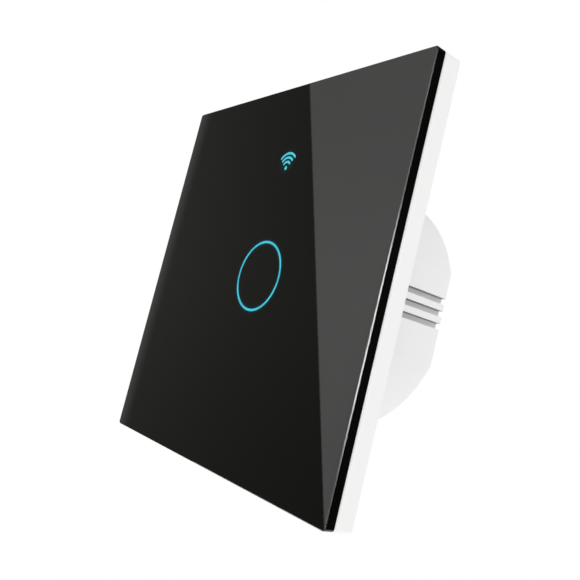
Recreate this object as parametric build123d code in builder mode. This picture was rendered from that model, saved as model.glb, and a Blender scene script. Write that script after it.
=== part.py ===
from build123d import *
import os

# Touch light switch for a wall box, one touch key behind a square glass front.
# Millimetres. X is to the right seen from the room, Y goes into the wall, Z is up.
# The origin is the centre of the wall plate's back face, so the room is at negative Y.

os.makedirs("parts", exist_ok=True)

# Square front panel
panel_side = 86.0
panel_corner = 0.7
panel_projection = 6.35
glass_thickness = 2.0
glass_bevel = 0.25
ink_thickness = 0.1
web_thickness = 1.4
skirt_wall = 2.0
frame_front_bevel = 0.4
frame_back_bevel = 0.15

# Marks printed behind the glass
mark_x = 3.4
key_z = -0.83
key_ring_radius = 7.62
print_stroke = 0.52
print_clearance = 0.01
symbol_z = 23.75
symbol_dot_radius = 0.46
symbol_arc_radius = 1.45
symbol_arc_step = 1.0
symbol_arc_count = 3
symbol_half_angle = 46.0

# Light guides, lamps and the touch electrode under the marks
key_window_radius = 9.2
guide_outer_radius = 9.0
guide_inner_radius = 6.4
lamp_groove_half_width = 0.7
lamp_groove_depth = 0.8
lamp_count = 6
lamp_length = 1.6
lamp_width = 0.8
lamp_height = 0.6
symbol_guide_width = 9.4
symbol_guide_height = 6.6
symbol_guide_rise = 1.8
symbol_guide_wall = 2.0
electrode_radius = 6.0

# Wall plate
plate_thickness = 1.5
plate_clearance = 0.2
plate_corner = 0.8
plate_lip_width = 1.2
plate_lip_gap = 0.3
plate_window_radius = 18.0
wall_screw_spacing = 60.0
wall_slot_width = 4.2
wall_slot_length = 5.6
wall_screw_head = 7.6
head_recess_depth = 0.5
pry_notch_width = 10.0
pry_notch_depth = 1.2

# Clip tongues of the frame and rivet pegs that hold the touch board
clip_x = 24.0
clip_width = 8.0
clip_thickness = 1.2
clip_edge_distance = 4.8
clip_tip_gap = 0.3
peg_radius = 0.75
peg_head_radius = 1.3
peg_head_height = 0.35
peg_edge_distance = 2.5

# Round body behind the wall plate
body_depth = 28.1
body_radius = 28.6
flat_cut = 1.85
body_drop = 0.46
body_wall = 1.8
flat_wall = 2.55
body_edge_bevel = 0.25
rim_seat_depth = 0.3
rim_seat_clearance = 0.1
groove_count = 3
groove_width = 1.35
groove_depth = 1.3
groove_pitch = 2.75
groove_rise = 1.2
groove_front = 10.0
label_recess_width = 30.0
label_recess_height = 16.0
label_recess_depth = 0.2
label_recess_z = 6.0
label_recess_corner = 1.0

# Screws that join plate and body, and the bosses that take them
boss_count = 4
boss_inset = 6.2
boss_radius = 3.2
boss_neck_radius = 2.1
boss_rib_width = 2.0
housing_screw_radius = 1.25
housing_screw_head_radius = 2.35
housing_screw_length = 9.0
housing_screw_cone = 90.0
recess_length = 1.6
recess_width = 0.5
recess_depth = 0.7
thread_clearance = 0.02

# Boards
touch_board_width = 50.6
touch_board_height = 51.0
touch_board_rise = 5.5
touch_board_thickness = 0.8
power_board_front = 4.0
power_board_thickness = 1.6
board_clearance = 0.4
board_corner = 1.5
solder_tail = 1.2

# Parts on the back of the touch board
radio_width = 16.0
radio_height = 19.0
radio_rise = 5.0
radio_thickness = 0.8
shield_width = 12.5
shield_height = 12.0
shield_depth = 2.4
shield_wall = 0.3
shield_rise = 3.0
shield_corner = 0.6
castle_pitch = 2.0
castle_count = 8
castle_radius = 0.3
chip_body_width = 4.9
chip_body_height = 3.9
chip_body_depth = 1.4
chip_lead_count = 4
chip_lead_pitch = 1.27
chip_lead_width = 0.4
chip_lead_reach = 1.0
chip_lead_thickness = 0.25
touch_chip_x = -5.5
touch_chip_z = -8.6
small_part_length = 1.6
small_part_width = 0.8
small_part_height = 0.8
small_part_pitch = 2.4
small_part_x = 1.0
small_part_columns = 4
small_part_rows = 2

# Pins between the two boards
header_pin_count = 6
header_pitch = 2.0
header_pin_radius = 0.3
header_width = 2.4
header_z = -14.0
header_strip_depth = 1.5
socket_depth = 4.3
pin_engagement = 3.2
pin_hole_clearance = 0.1

# Terminals
terminal_count = 3
terminal_pitch = 7.0
block_end_wall = 1.3
block_bottom_z = -26.5
block_top_z = -17.0
block_depth = 14.4
block_wall = 1.1
block_floor = 1.2
cage_width = 5.2
cage_wall = 0.6
cage_height = 6.4
cage_depth = 7.9
cage_foot_thickness = 1.1
cage_head_thickness = 1.5
cage_travel = 2.0
bar_width = 3.7
bar_thickness = 1.0
bar_lift = 2.8
bar_tail_width = 1.2
bar_tail_thickness = 0.8
wire_hole_radius = 1.8
terminal_screw_radius = 1.45
terminal_thread_clearance = 0.05
terminal_head_radius = 2.6
terminal_head_depth = 1.9
terminal_head_sink = 0.15
terminal_slot_width = 0.8
terminal_slot_depth = 1.0
screw_tip_gap = 0.7
notch_clearance = 0.4
notch_wall = 1.5
notch_lead = 0.2

# Power supply parts
transformer_edge_gap = 4.3
transformer_z = 3.0
core_side = 13.0
core_thickness = 6.0
core_limb = 1.8
core_centre_limb = 3.4
core_lift = 3.4
bobbin_wall = 0.5
bobbin_half_length = 4.7
flange_thickness = 0.6
flange_half_width = 4.5
flange_reach = 2.4
winding_reach = 1.9
rail_depth = 3.2
rail_length = 4.2
input_capacitor_radius = 4.0
input_capacitor_depth = 14.0
input_capacitor_x = 0.0
input_capacitor_edge_gap = 3.54
output_capacitor_radius = 3.15
output_capacitor_depth = 9.0
capacitor_gap = 0.85
capacitor_step = 1.5
capacitor_bead = 0.3
capacitor_edge = 0.5
film_width = 13.0
film_height = 6.0
film_depth = 12.0
film_x = -0.5
film_gap = 2.2
film_edge = 0.8
varistor_radius = 3.5
varistor_thickness = 3.8
varistor_edge_gap = 2.1
varistor_z = -8.3
lead_radius = 0.3
lead_length = 1.0
lead_spread = 2.5
fuse_width = 8.4
fuse_height = 4.2
fuse_depth = 7.7
fuse_x = 3.2
fuse_z = -10.6
fuse_edge = 0.6
rectifier_x = -6.2
rectifier_z = -10.4
controller_x = 11.4
controller_z = -9.6
power_part_columns = 6
power_part_rows = 3
power_part_x = -8.6
power_part_z = -4.0

# Relay
relay_edge_gap = 2.2
relay_width = 10.0
relay_height = 20.0
relay_depth = 15.3
relay_wall = 0.7
relay_edge = 0.5
relay_base_depth = 1.8
relay_cover_lift = 0.3
coil_z = -2.5
coil_length = 7.8
coil_tube_radius = 2.1
coil_flange_radius = 4.0
coil_flange = 0.8
coil_winding_radius = 3.8
relay_core_radius = 1.3
pole_radius = 2.5
pole_thickness = 0.6
yoke_thickness = 1.0
yoke_width = 7.0
yoke_back_z = -8.9
yoke_upright = 1.2
yoke_foot_end_z = 0.5
armature_gap = 0.45
armature_seat_gap = 0.05
armature_width = 6.4
armature_thickness = 1.1
armature_end_z = 1.2
leaf_width = 3.6
leaf_thickness = 0.3
leaf_start_z = -4.0
leaf_end_z = 8.1
contact_z = 6.8
contact_radius = 1.2
contact_gap = 0.8
fixed_button_height = 0.55
fixed_tab_thickness = 0.6
fixed_blade_thickness = 0.6
fixed_blade_z = 7.6
relay_tail_width = 1.2

# Clearances and small shared sizes
press_clearance = 0.05
slide_clearance = 0.1
loose_clearance = 0.2
cut_overrun = 1.0

# Levels, counted into the wall from the wall plate's back face
glass_front = -panel_projection
glass_back = glass_front + glass_thickness
ink_back = glass_back + ink_thickness
web_back = ink_back + web_thickness
touch_board_back = web_back + touch_board_thickness
plate_front = -plate_thickness
seat_level = -rim_seat_depth
power_board_back = power_board_front + power_board_thickness
body_inside_back = body_depth - body_wall

# Outlines of the round body and of its room inside
body_flat = body_radius - flat_cut
boss_circle_radius = body_radius - boss_inset
inside_radius = body_radius - body_wall
inside_flat = body_flat - flat_wall

# Places of the power parts, counted inwards from the walls of the body
relay_x = relay_width / 2 + relay_edge_gap - inside_flat
transformer_x = inside_flat - transformer_edge_gap - core_side / 2
varistor_x = inside_flat - varistor_edge_gap - varistor_radius
input_capacitor_z = inside_radius - body_drop - input_capacitor_edge_gap - input_capacitor_radius
output_capacitor_x = input_capacitor_x - input_capacitor_radius - capacitor_gap - output_capacitor_radius
output_capacitor_z = input_capacitor_z - capacitor_step
film_z = input_capacitor_z - input_capacitor_radius - film_gap - film_height / 2
terminal_x = [(number - (terminal_count - 1) / 2) * terminal_pitch for number in range(terminal_count)]

# Alignments for blocks that are placed by the middle or an edge of their room side
room_side = (Align.CENTER, Align.MIN, Align.CENTER)
room_side_low = (Align.CENTER, Align.MIN, Align.MIN)
room_side_high = (Align.CENTER, Align.MIN, Align.MAX)


def wall_plane(depth):
    """Plane parallel to the wall, that far into it, with X to the right and Z up."""
    return Plane.XZ.offset(-depth)


def body_plane(depth):
    """The same plane with its origin on the round body's own axis."""
    return Plane(origin=(0, depth, -body_drop), x_dir=(1, 0, 0), z_dir=(0, -1, 0))


def boss_outlines(radius, mode=Mode.ADD):
    """Circles where the screws join plate and body, drawn on a plane of the round body."""
    with PolarLocations(boss_circle_radius, boss_count, start_angle=45):
        Circle(radius, mode=mode)


def boss_ribs(mode=Mode.ADD):
    """Ribs that tie the bosses to the wall of the round body."""
    with PolarLocations(boss_circle_radius, boss_count, start_angle=45):
        rib_reach = body_radius - body_wall / 2 - boss_circle_radius
        Rectangle(rib_reach, boss_rib_width, align=(Align.MIN, Align.CENTER), mode=mode)


def write_piece(piece, name):
    """Label a finished piece and write it to the parts folder."""
    piece.label = name
    export_step(piece, f"parts/{name}.step")


def body_outline(radius, flat):
    """Section of the round body: a circle with a flat on each side."""
    Circle(radius)
    Rectangle(2 * flat, 2 * radius, mode=Mode.INTERSECT)


symbol_arcs = [
    CenterArc(
        (mark_x, symbol_z),
        symbol_arc_radius + step * symbol_arc_step,
        90 - symbol_half_angle,
        2 * symbol_half_angle,
    )
    for step in range(symbol_arc_count)
]


def symbol_outline(spread):
    """The signal symbol, a dot below three arcs, with its outline moved out by spread."""
    with Locations((mark_x, symbol_z)):
        Circle(symbol_dot_radius + spread)
    for arc in symbol_arcs:
        SlotArc(arc, print_stroke + 2 * spread)


# Glass front with ground edges
with BuildPart() as glass_panel:
    with BuildSketch(wall_plane(glass_back)):
        RectangleRounded(panel_side, panel_side, panel_corner)
    extrude(amount=glass_thickness)
    chamfer(glass_panel.faces().sort_by(Axis.Y)[0].edges(), length=glass_bevel)
write_piece(glass_panel.part, "glass_panel")

# Black ink on the back of the glass, left open where the marks shine through
with BuildPart() as ink_film:
    with BuildSketch(wall_plane(ink_back)):
        RectangleRounded(panel_side, panel_side, panel_corner)
        with Locations((mark_x, key_z)):
            Circle(key_ring_radius + print_stroke / 2 + print_clearance, mode=Mode.SUBTRACT)
            Circle(key_ring_radius - print_stroke / 2 - print_clearance)
    extrude(amount=ink_thickness)
    with BuildSketch(wall_plane(ink_back)):
        symbol_outline(print_clearance)
    extrude(amount=ink_thickness, mode=Mode.SUBTRACT)
write_piece(ink_film.part, "ink_film")

# Translucent ring and symbol that fill the openings in the black ink
with BuildPart() as key_ring_mark:
    with BuildSketch(wall_plane(ink_back)):
        with Locations((mark_x, key_z)):
            Circle(key_ring_radius + print_stroke / 2)
            Circle(key_ring_radius - print_stroke / 2, mode=Mode.SUBTRACT)
    extrude(amount=ink_thickness)
write_piece(key_ring_mark.part, "key_ring_mark")

with BuildPart() as symbol_mark:
    with BuildSketch(wall_plane(ink_back)):
        symbol_outline(0)
    extrude(amount=ink_thickness)
write_piece(symbol_mark.part, "symbol_mark")

# White frame: a shallow tray whose web carries the glass and the touch board
clip_z = panel_side / 2 - clip_edge_distance
peg_x = touch_board_width / 2 - peg_edge_distance
peg_places = [
    (side * peg_x, touch_board_rise + level * (touch_board_height / 2 - peg_edge_distance))
    for side in (-1, 1)
    for level in (-1, 1)
]
screw_window_side = wall_screw_head + 2 * board_clearance
with BuildPart() as panel_frame:
    with BuildSketch(wall_plane(0)):
        RectangleRounded(panel_side, panel_side, panel_corner)
    extrude(amount=-ink_back)
    chamfer(panel_frame.faces().sort_by(Axis.Y)[0].edges(), length=frame_front_bevel)
    chamfer(panel_frame.faces().sort_by(Axis.Y)[-1].edges(), length=frame_back_bevel)
    with BuildSketch(wall_plane(0)):
        tray_side = panel_side - 2 * skirt_wall
        RectangleRounded(tray_side, tray_side, plate_corner + plate_clearance)
    extrude(amount=-web_back, mode=Mode.SUBTRACT)
    # Windows in the web for the key, the symbol and the heads of the wall screws
    with BuildSketch(wall_plane(web_back)):
        with Locations((mark_x, key_z)):
            Circle(key_window_radius)
        with Locations((mark_x, symbol_z + symbol_guide_rise)):
            Rectangle(
                symbol_guide_width + 2 * slide_clearance, symbol_guide_height + 2 * slide_clearance
            )
        with GridLocations(wall_screw_spacing, 0, 2, 1):
            RectangleRounded(screw_window_side, screw_window_side, board_corner)
    extrude(amount=web_thickness, mode=Mode.SUBTRACT)
    # Clip tongues and rivet pegs stand on the back of the web
    with BuildSketch(wall_plane(-clip_tip_gap)):
        with GridLocations(2 * clip_x, 2 * clip_z, 2, 2):
            Rectangle(clip_width, clip_thickness)
    extrude(amount=-clip_tip_gap - web_back)
    with BuildSketch(wall_plane(touch_board_back)):
        with Locations(*peg_places):
            Circle(peg_radius)
    extrude(amount=touch_board_thickness)
    with BuildSketch(wall_plane(touch_board_back + peg_head_height)):
        with Locations(*peg_places):
            Circle(peg_head_radius)
    extrude(amount=peg_head_height)
    # Notch in the lower edge for the tool that pries the panel off
    with Locations((0, -pry_notch_depth, -panel_side / 2)):
        Box(
            pry_notch_width,
            pry_notch_depth + cut_overrun,
            2 * skirt_wall + 2 * plate_clearance,
            align=room_side,
            mode=Mode.SUBTRACT,
        )
write_piece(panel_frame.part, "panel_frame")

# Light guide of the key ring, with a groove at its back for the lamps
with BuildPart() as ring_light_guide:
    with BuildSketch(wall_plane(web_back)):
        with Locations((mark_x, key_z)):
            Circle(guide_outer_radius)
            Circle(guide_inner_radius, mode=Mode.SUBTRACT)
    extrude(amount=web_thickness)
    with BuildSketch(wall_plane(web_back)):
        with Locations((mark_x, key_z)):
            Circle(key_ring_radius + lamp_groove_half_width)
            Circle(key_ring_radius - lamp_groove_half_width, mode=Mode.SUBTRACT)
    extrude(amount=lamp_groove_depth, mode=Mode.SUBTRACT)
write_piece(ring_light_guide.part, "ring_light_guide")

with BuildPart() as symbol_light_guide:
    with BuildSketch(wall_plane(web_back)):
        with Locations((mark_x, symbol_z + symbol_guide_rise)):
            Rectangle(symbol_guide_width, symbol_guide_height)
    extrude(amount=web_thickness)
    with BuildSketch(wall_plane(web_back)):
        with Locations((mark_x, symbol_z + symbol_guide_rise)):
            Rectangle(
                symbol_guide_width - 2 * symbol_guide_wall, symbol_guide_height - 2 * symbol_guide_wall
            )
    extrude(amount=lamp_groove_depth, mode=Mode.SUBTRACT)
write_piece(symbol_light_guide.part, "symbol_light_guide")

# Foam pad that couples the finger through the glass to the touch board
with BuildPart() as touch_electrode:
    with BuildSketch(wall_plane(web_back)):
        with Locations((mark_x, key_z)):
            Circle(electrode_radius)
    extrude(amount=web_thickness)
write_piece(touch_electrode.part, "touch_electrode")

# Lamps on the room side of the touch board: a ring of six and one under the symbol
with BuildPart() as indicator_lamps:
    with BuildSketch(wall_plane(web_back)):
        with Locations((mark_x, key_z)):
            with PolarLocations(key_ring_radius, lamp_count):
                Rectangle(lamp_width, lamp_length)
        with Locations((mark_x, symbol_z + symbol_guide_rise)):
            Rectangle(lamp_length, lamp_width)
    extrude(amount=lamp_height)
write_piece(indicator_lamps.part, "indicator_lamps")

# Touch board, riveted to the web by the frame's pegs
with BuildPart() as touch_board:
    with BuildSketch(wall_plane(touch_board_back)):
        with Locations((0, touch_board_rise)):
            RectangleRounded(touch_board_width, touch_board_height, board_corner)
        with Locations(*peg_places):
            Circle(peg_radius + slide_clearance, mode=Mode.SUBTRACT)
    extrude(amount=touch_board_thickness)
write_piece(touch_board.part, "touch_board")

# Radio board with its half holes along both sides, and the metal can over its chips
with BuildPart() as radio_module:
    with BuildSketch(wall_plane(touch_board_back + radio_thickness)):
        with Locations((0, radio_rise)):
            Rectangle(radio_width, radio_height)
            with GridLocations(radio_width, castle_pitch, 2, castle_count):
                Circle(castle_radius, mode=Mode.SUBTRACT)
    extrude(amount=radio_thickness)
write_piece(radio_module.part, "radio_module")

radio_back = touch_board_back + radio_thickness
with BuildPart() as radio_shield:
    with BuildSketch(wall_plane(radio_back + shield_depth)):
        with Locations((0, shield_rise)):
            RectangleRounded(shield_width, shield_height, shield_corner)
    extrude(amount=shield_depth)
    fillet(radio_shield.faces().sort_by(Axis.Y)[-1].edges(), radius=shield_wall)
    with BuildSketch(wall_plane(radio_back + shield_depth - shield_wall)):
        with Locations((0, shield_rise)):
            Rectangle(shield_width - 2 * shield_wall, shield_height - 2 * shield_wall)
    extrude(amount=shield_depth - shield_wall, mode=Mode.SUBTRACT)
write_piece(radio_shield.part, "radio_shield")


def chip_package(x, front, z):
    """A small chip with leads on both sides, its leads resting on the level called front."""
    with Locations((x, front, z)):
        Box(chip_body_width, chip_body_depth, chip_body_height, align=room_side)
    for lead in range(chip_lead_count):
        lead_x = x + (lead - (chip_lead_count - 1) / 2) * chip_lead_pitch
        with Locations((lead_x, front, z)):
            Box(
                chip_lead_width,
                chip_lead_thickness,
                chip_body_height + 2 * chip_lead_reach,
                align=room_side,
            )


with BuildPart() as touch_controller:
    chip_package(touch_chip_x, touch_board_back, touch_chip_z)
write_piece(touch_controller.part, "touch_controller")

# Chip capacitors and resistors between the touch chip and the pin socket
with BuildPart() as touch_board_parts:
    for column in range(small_part_columns):
        for row in range(small_part_rows):
            place_x = small_part_x + column * small_part_pitch
            place_z = touch_chip_z + (row - (small_part_rows - 1) / 2) * small_part_pitch
            with Locations((place_x, touch_board_back, place_z)):
                Box(small_part_length, small_part_height, small_part_width, align=room_side)
write_piece(touch_board_parts.part, "touch_board_parts")

# Socket on the touch board and pin strip on the power board
header_length = header_pin_count * header_pitch + 2 * press_clearance
with BuildPart() as header_socket:
    with Locations((0, touch_board_back, header_z)):
        Box(header_length, socket_depth, header_width, align=room_side)
    with BuildSketch(wall_plane(touch_board_back + socket_depth)):
        with Locations((0, header_z)):
            with GridLocations(header_pitch, 0, header_pin_count, 1):
                Circle(header_pin_radius + pin_hole_clearance)
    extrude(amount=pin_engagement + loose_clearance, mode=Mode.SUBTRACT)
write_piece(header_socket.part, "header_socket")

with BuildPart() as header_strip:
    with Locations((0, power_board_front - header_strip_depth, header_z)):
        Box(header_length, header_strip_depth, header_width, align=room_side)
    with BuildSketch(wall_plane(power_board_front)):
        with Locations((0, header_z)):
            with GridLocations(header_pitch, 0, header_pin_count, 1):
                Circle(header_pin_radius + thread_clearance)
    extrude(amount=header_strip_depth, mode=Mode.SUBTRACT)
write_piece(header_strip.part, "header_strip")

pin_tip = touch_board_back + socket_depth - pin_engagement
pin_tail = power_board_back + solder_tail
with BuildPart() as header_pins:
    with BuildSketch(wall_plane(pin_tail)):
        with Locations((0, header_z)):
            with GridLocations(header_pitch, 0, header_pin_count, 1):
                Circle(header_pin_radius)
    extrude(amount=pin_tail - pin_tip)
write_piece(header_pins.part, "header_pins")

# Wall plate: slots for the wall-box screws, a lip round its edge, slots for the clips
plate_side = panel_side - 2 * skirt_wall - 2 * plate_clearance
lip_front = web_back + plate_lip_gap
with BuildPart() as base_plate:
    with BuildSketch(wall_plane(0)):
        RectangleRounded(plate_side, plate_side, plate_corner)
    extrude(amount=plate_thickness)
    with BuildSketch(wall_plane(plate_front)):
        RectangleRounded(plate_side, plate_side, plate_corner)
        lip_inside = plate_side - 2 * plate_lip_width
        Rectangle(lip_inside, lip_inside, mode=Mode.SUBTRACT)
    extrude(amount=plate_front - lip_front)
    # Stand-offs that press the power board onto the body's bosses
    with BuildSketch(body_plane(power_board_front)):
        boss_outlines(boss_radius)
    extrude(amount=power_board_front)
    # Seat for the rim of the body
    with BuildSketch(body_plane(0)):
        body_outline(body_radius + rim_seat_clearance, body_flat + rim_seat_clearance)
        boss_outlines(boss_radius, mode=Mode.SUBTRACT)
    extrude(amount=rim_seat_depth, mode=Mode.SUBTRACT)
    with BuildSketch(body_plane(power_board_front)):
        boss_outlines(boss_neck_radius + slide_clearance)
    extrude(amount=power_board_front + rim_seat_depth, mode=Mode.SUBTRACT)
    # Window for the parts on the back of the touch board
    with BuildSketch(body_plane(0)):
        Circle(plate_window_radius)
    extrude(amount=plate_thickness, mode=Mode.SUBTRACT)
    with BuildSketch(wall_plane(0)):
        with GridLocations(wall_screw_spacing, 0, 2, 1):
            SlotOverall(wall_slot_length, wall_slot_width)
        with GridLocations(2 * clip_x, 2 * clip_z, 2, 2):
            Rectangle(clip_width + 2 * slide_clearance, clip_thickness + 2 * slide_clearance)
    extrude(amount=plate_thickness, mode=Mode.SUBTRACT)
    with BuildSketch(wall_plane(plate_front + head_recess_depth)):
        with GridLocations(wall_screw_spacing, 0, 2, 1):
            head_recess = wall_screw_head + wall_slot_length - wall_slot_width
            SlotOverall(head_recess, wall_screw_head)
    extrude(amount=head_recess_depth, mode=Mode.SUBTRACT)
    with Locations(body_plane(plate_front)):
        with PolarLocations(boss_circle_radius, boss_count, start_angle=45):
            CounterSinkHole(
                housing_screw_radius + slide_clearance,
                housing_screw_head_radius + slide_clearance,
                depth=plate_thickness,
                counter_sink_angle=housing_screw_cone,
            )
write_piece(base_plate.part, "base_plate")

# Round body: a cup with four bosses, side grooves and a notch for the terminals
notch_half_width = terminal_pitch * terminal_count / 2 + block_end_wall / 2 + notch_clearance
notch_top_z = block_top_z + notch_clearance
notch_front = power_board_back - notch_lead
lining_front = power_board_back + board_clearance
with BuildPart() as rear_housing:
    with BuildSketch(body_plane(body_depth)):
        body_outline(body_radius, body_flat)
    extrude(amount=body_depth - seat_level)
    chamfer(rear_housing.faces().sort_by(Axis.Y)[-1].edges(), length=body_edge_bevel)
    with BuildSketch(body_plane(body_inside_back)):
        body_outline(inside_radius, inside_flat)
        # The notch keeps a lining, and the bosses keep their full length
        with Locations((0, notch_top_z + body_drop + notch_wall)):
            Rectangle(
                2 * (notch_half_width + notch_wall),
                2 * body_radius,
                align=(Align.CENTER, Align.MAX),
                mode=Mode.SUBTRACT,
            )
        boss_outlines(boss_radius, mode=Mode.SUBTRACT)
        boss_ribs(mode=Mode.SUBTRACT)
    extrude(amount=body_inside_back - lining_front, mode=Mode.SUBTRACT)
    with BuildSketch(body_plane(lining_front)):
        body_outline(inside_radius, inside_flat)
        boss_outlines(boss_radius, mode=Mode.SUBTRACT)
        boss_ribs(mode=Mode.SUBTRACT)
    extrude(amount=lining_front - power_board_back, mode=Mode.SUBTRACT)
    with BuildSketch(body_plane(power_board_back)):
        body_outline(inside_radius, inside_flat)
        boss_outlines(boss_neck_radius, mode=Mode.SUBTRACT)
    extrude(amount=power_board_back - seat_level, mode=Mode.SUBTRACT)
    # Notch that opens the terminals to the back and downwards
    with Locations((0, notch_front, notch_top_z)):
        Box(
            2 * notch_half_width,
            body_depth - notch_front + cut_overrun,
            body_radius,
            align=room_side_high,
            mode=Mode.SUBTRACT,
        )
    # Grooves on both flats, open at the back
    for side in (-1, 1):
        for groove in range(groove_count):
            groove_z = groove_rise - body_drop + (groove - (groove_count - 1) / 2) * groove_pitch
            with Locations((side * body_flat, groove_front, groove_z)):
                Box(
                    2 * groove_depth,
                    body_depth - groove_front + cut_overrun,
                    groove_width,
                    align=room_side,
                    mode=Mode.SUBTRACT,
                )
    # Shallow recess in the back, where a label would go
    with BuildSketch(body_plane(body_depth)):
        with Locations((0, label_recess_z)):
            RectangleRounded(label_recess_width, label_recess_height, label_recess_corner)
    extrude(amount=label_recess_depth, mode=Mode.SUBTRACT)
    with BuildSketch(body_plane(seat_level + housing_screw_length)):
        boss_outlines(housing_screw_radius + thread_clearance)
    extrude(amount=housing_screw_length, mode=Mode.SUBTRACT)
write_piece(rear_housing.part, "rear_housing")

# Countersunk screws through the wall plate into the bosses
screw_tip = seat_level + housing_screw_length - loose_clearance
head_depth = housing_screw_head_radius - housing_screw_radius
with BuildPart() as housing_screws:
    with BuildSketch(body_plane(screw_tip)):
        boss_outlines(housing_screw_radius)
    extrude(amount=screw_tip - plate_front)
    with BuildSketch(body_plane(plate_front)):
        boss_outlines(housing_screw_head_radius)
    extrude(amount=-head_depth, taper=housing_screw_cone / 2)
    with BuildSketch(body_plane(plate_front + recess_depth)):
        with PolarLocations(boss_circle_radius, boss_count, start_angle=45):
            Rectangle(2 * recess_length, recess_width)
            Rectangle(recess_width, 2 * recess_length)
    extrude(amount=recess_depth, mode=Mode.SUBTRACT)
write_piece(housing_screws.part, "housing_screws")

# Power board: round like the body, with holes for the boss necks, pins and tails
tail_z = block_top_z - block_wall / 2 - bar_tail_thickness / 2
with BuildPart() as power_board:
    with BuildSketch(body_plane(power_board_back)):
        body_outline(inside_radius - board_clearance, inside_flat - board_clearance)
        boss_outlines(boss_neck_radius + slide_clearance, mode=Mode.SUBTRACT)
    extrude(amount=power_board_thickness)
    with BuildSketch(wall_plane(power_board_back)):
        with Locations((0, header_z)):
            with GridLocations(header_pitch, 0, header_pin_count, 1):
                Circle(header_pin_radius + press_clearance)
        with Locations(*[(x, tail_z) for x in terminal_x]):
            Rectangle(bar_tail_width + 2 * press_clearance, bar_tail_thickness + 2 * press_clearance)
        with Locations((relay_x, fixed_blade_z + fixed_blade_thickness / 2)):
            Rectangle(
                relay_tail_width + 2 * press_clearance, fixed_blade_thickness + 2 * press_clearance
            )
    extrude(amount=power_board_thickness, mode=Mode.SUBTRACT)
write_piece(power_board.part, "power_board")

# Terminal block, with one cavity for each cage
block_width = terminal_count * terminal_pitch + block_end_wall
block_back = power_board_back + block_depth
cavity_front = power_board_back + block_floor
cage_front = cavity_front + loose_clearance
cage_back = cage_front + cage_depth
cavity_back = cage_back + cage_travel + loose_clearance
cage_foot_back = cage_front + cage_foot_thickness
bar_front = cage_foot_back + bar_lift
bar_back = bar_front + bar_thickness
cavity_height = cage_height + 2 * slide_clearance
cavity_bottom_z = block_bottom_z + block_wall
cavity_middle_z = cavity_bottom_z + cavity_height / 2
cavity_top_z = cavity_bottom_z + cavity_height
head_back = block_back - terminal_head_sink
head_front = head_back - terminal_head_depth
wire_y = (cage_foot_back + bar_front) / 2
with BuildPart() as terminal_block:
    with Locations((0, power_board_back, block_bottom_z)):
        Box(
            block_width,
            block_depth,
            block_top_z - block_bottom_z,
            align=room_side_low,
        )
    for x in terminal_x:
        with Locations((x, cavity_front, cavity_middle_z)):
            Box(
                cage_width + 2 * slide_clearance,
                cavity_back - cavity_front,
                cavity_height,
                align=room_side,
                mode=Mode.SUBTRACT,
            )
        # Passage for the contact bar and a slot for its tail
        with Locations((x, bar_front - slide_clearance, cavity_top_z - cut_overrun)):
            Box(
                bar_width + 2 * slide_clearance,
                bar_thickness + 2 * slide_clearance,
                tail_z + bar_tail_thickness / 2 + slide_clearance - cavity_top_z + cut_overrun,
                align=room_side_low,
                mode=Mode.SUBTRACT,
            )
        with Locations((x, power_board_back, tail_z)):
            Box(
                bar_tail_width + 2 * slide_clearance,
                bar_front - power_board_back,
                bar_tail_thickness + 2 * slide_clearance,
                align=room_side,
                mode=Mode.SUBTRACT,
            )
    with BuildSketch(wall_plane(head_front - press_clearance)):
        with Locations(*[(x, cavity_middle_z) for x in terminal_x]):
            Circle(terminal_screw_radius + slide_clearance)
    extrude(amount=head_front - press_clearance - cavity_back, mode=Mode.SUBTRACT)
    with BuildSketch(wall_plane(block_back)):
        with Locations(*[(x, cavity_middle_z) for x in terminal_x]):
            Circle(terminal_head_radius + slide_clearance)
    extrude(amount=block_back - head_front + press_clearance, mode=Mode.SUBTRACT)
    # Round wire entries in the lower wall
    with BuildSketch(Plane.XY.offset(block_bottom_z)):
        with Locations(*[(x, wire_y) for x in terminal_x]):
            Circle(wire_hole_radius)
    extrude(amount=block_wall, mode=Mode.SUBTRACT)
write_piece(terminal_block.part, "terminal_block")

# Fixed contact bars, one above each wire space, with a tail through the power board
tail_front = power_board_front - solder_tail
bar_bottom_z = cavity_bottom_z + board_clearance
with BuildPart() as terminal_bars:
    for x in terminal_x:
        with Locations((x, bar_front, bar_bottom_z)):
            Box(
                bar_width,
                bar_thickness,
                tail_z + bar_tail_thickness / 2 - bar_bottom_z,
                align=room_side_low,
            )
        with Locations((x, tail_front, tail_z)):
            Box(bar_tail_width, bar_front - tail_front, bar_tail_thickness, align=room_side)
write_piece(terminal_bars.part, "terminal_bars")

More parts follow.
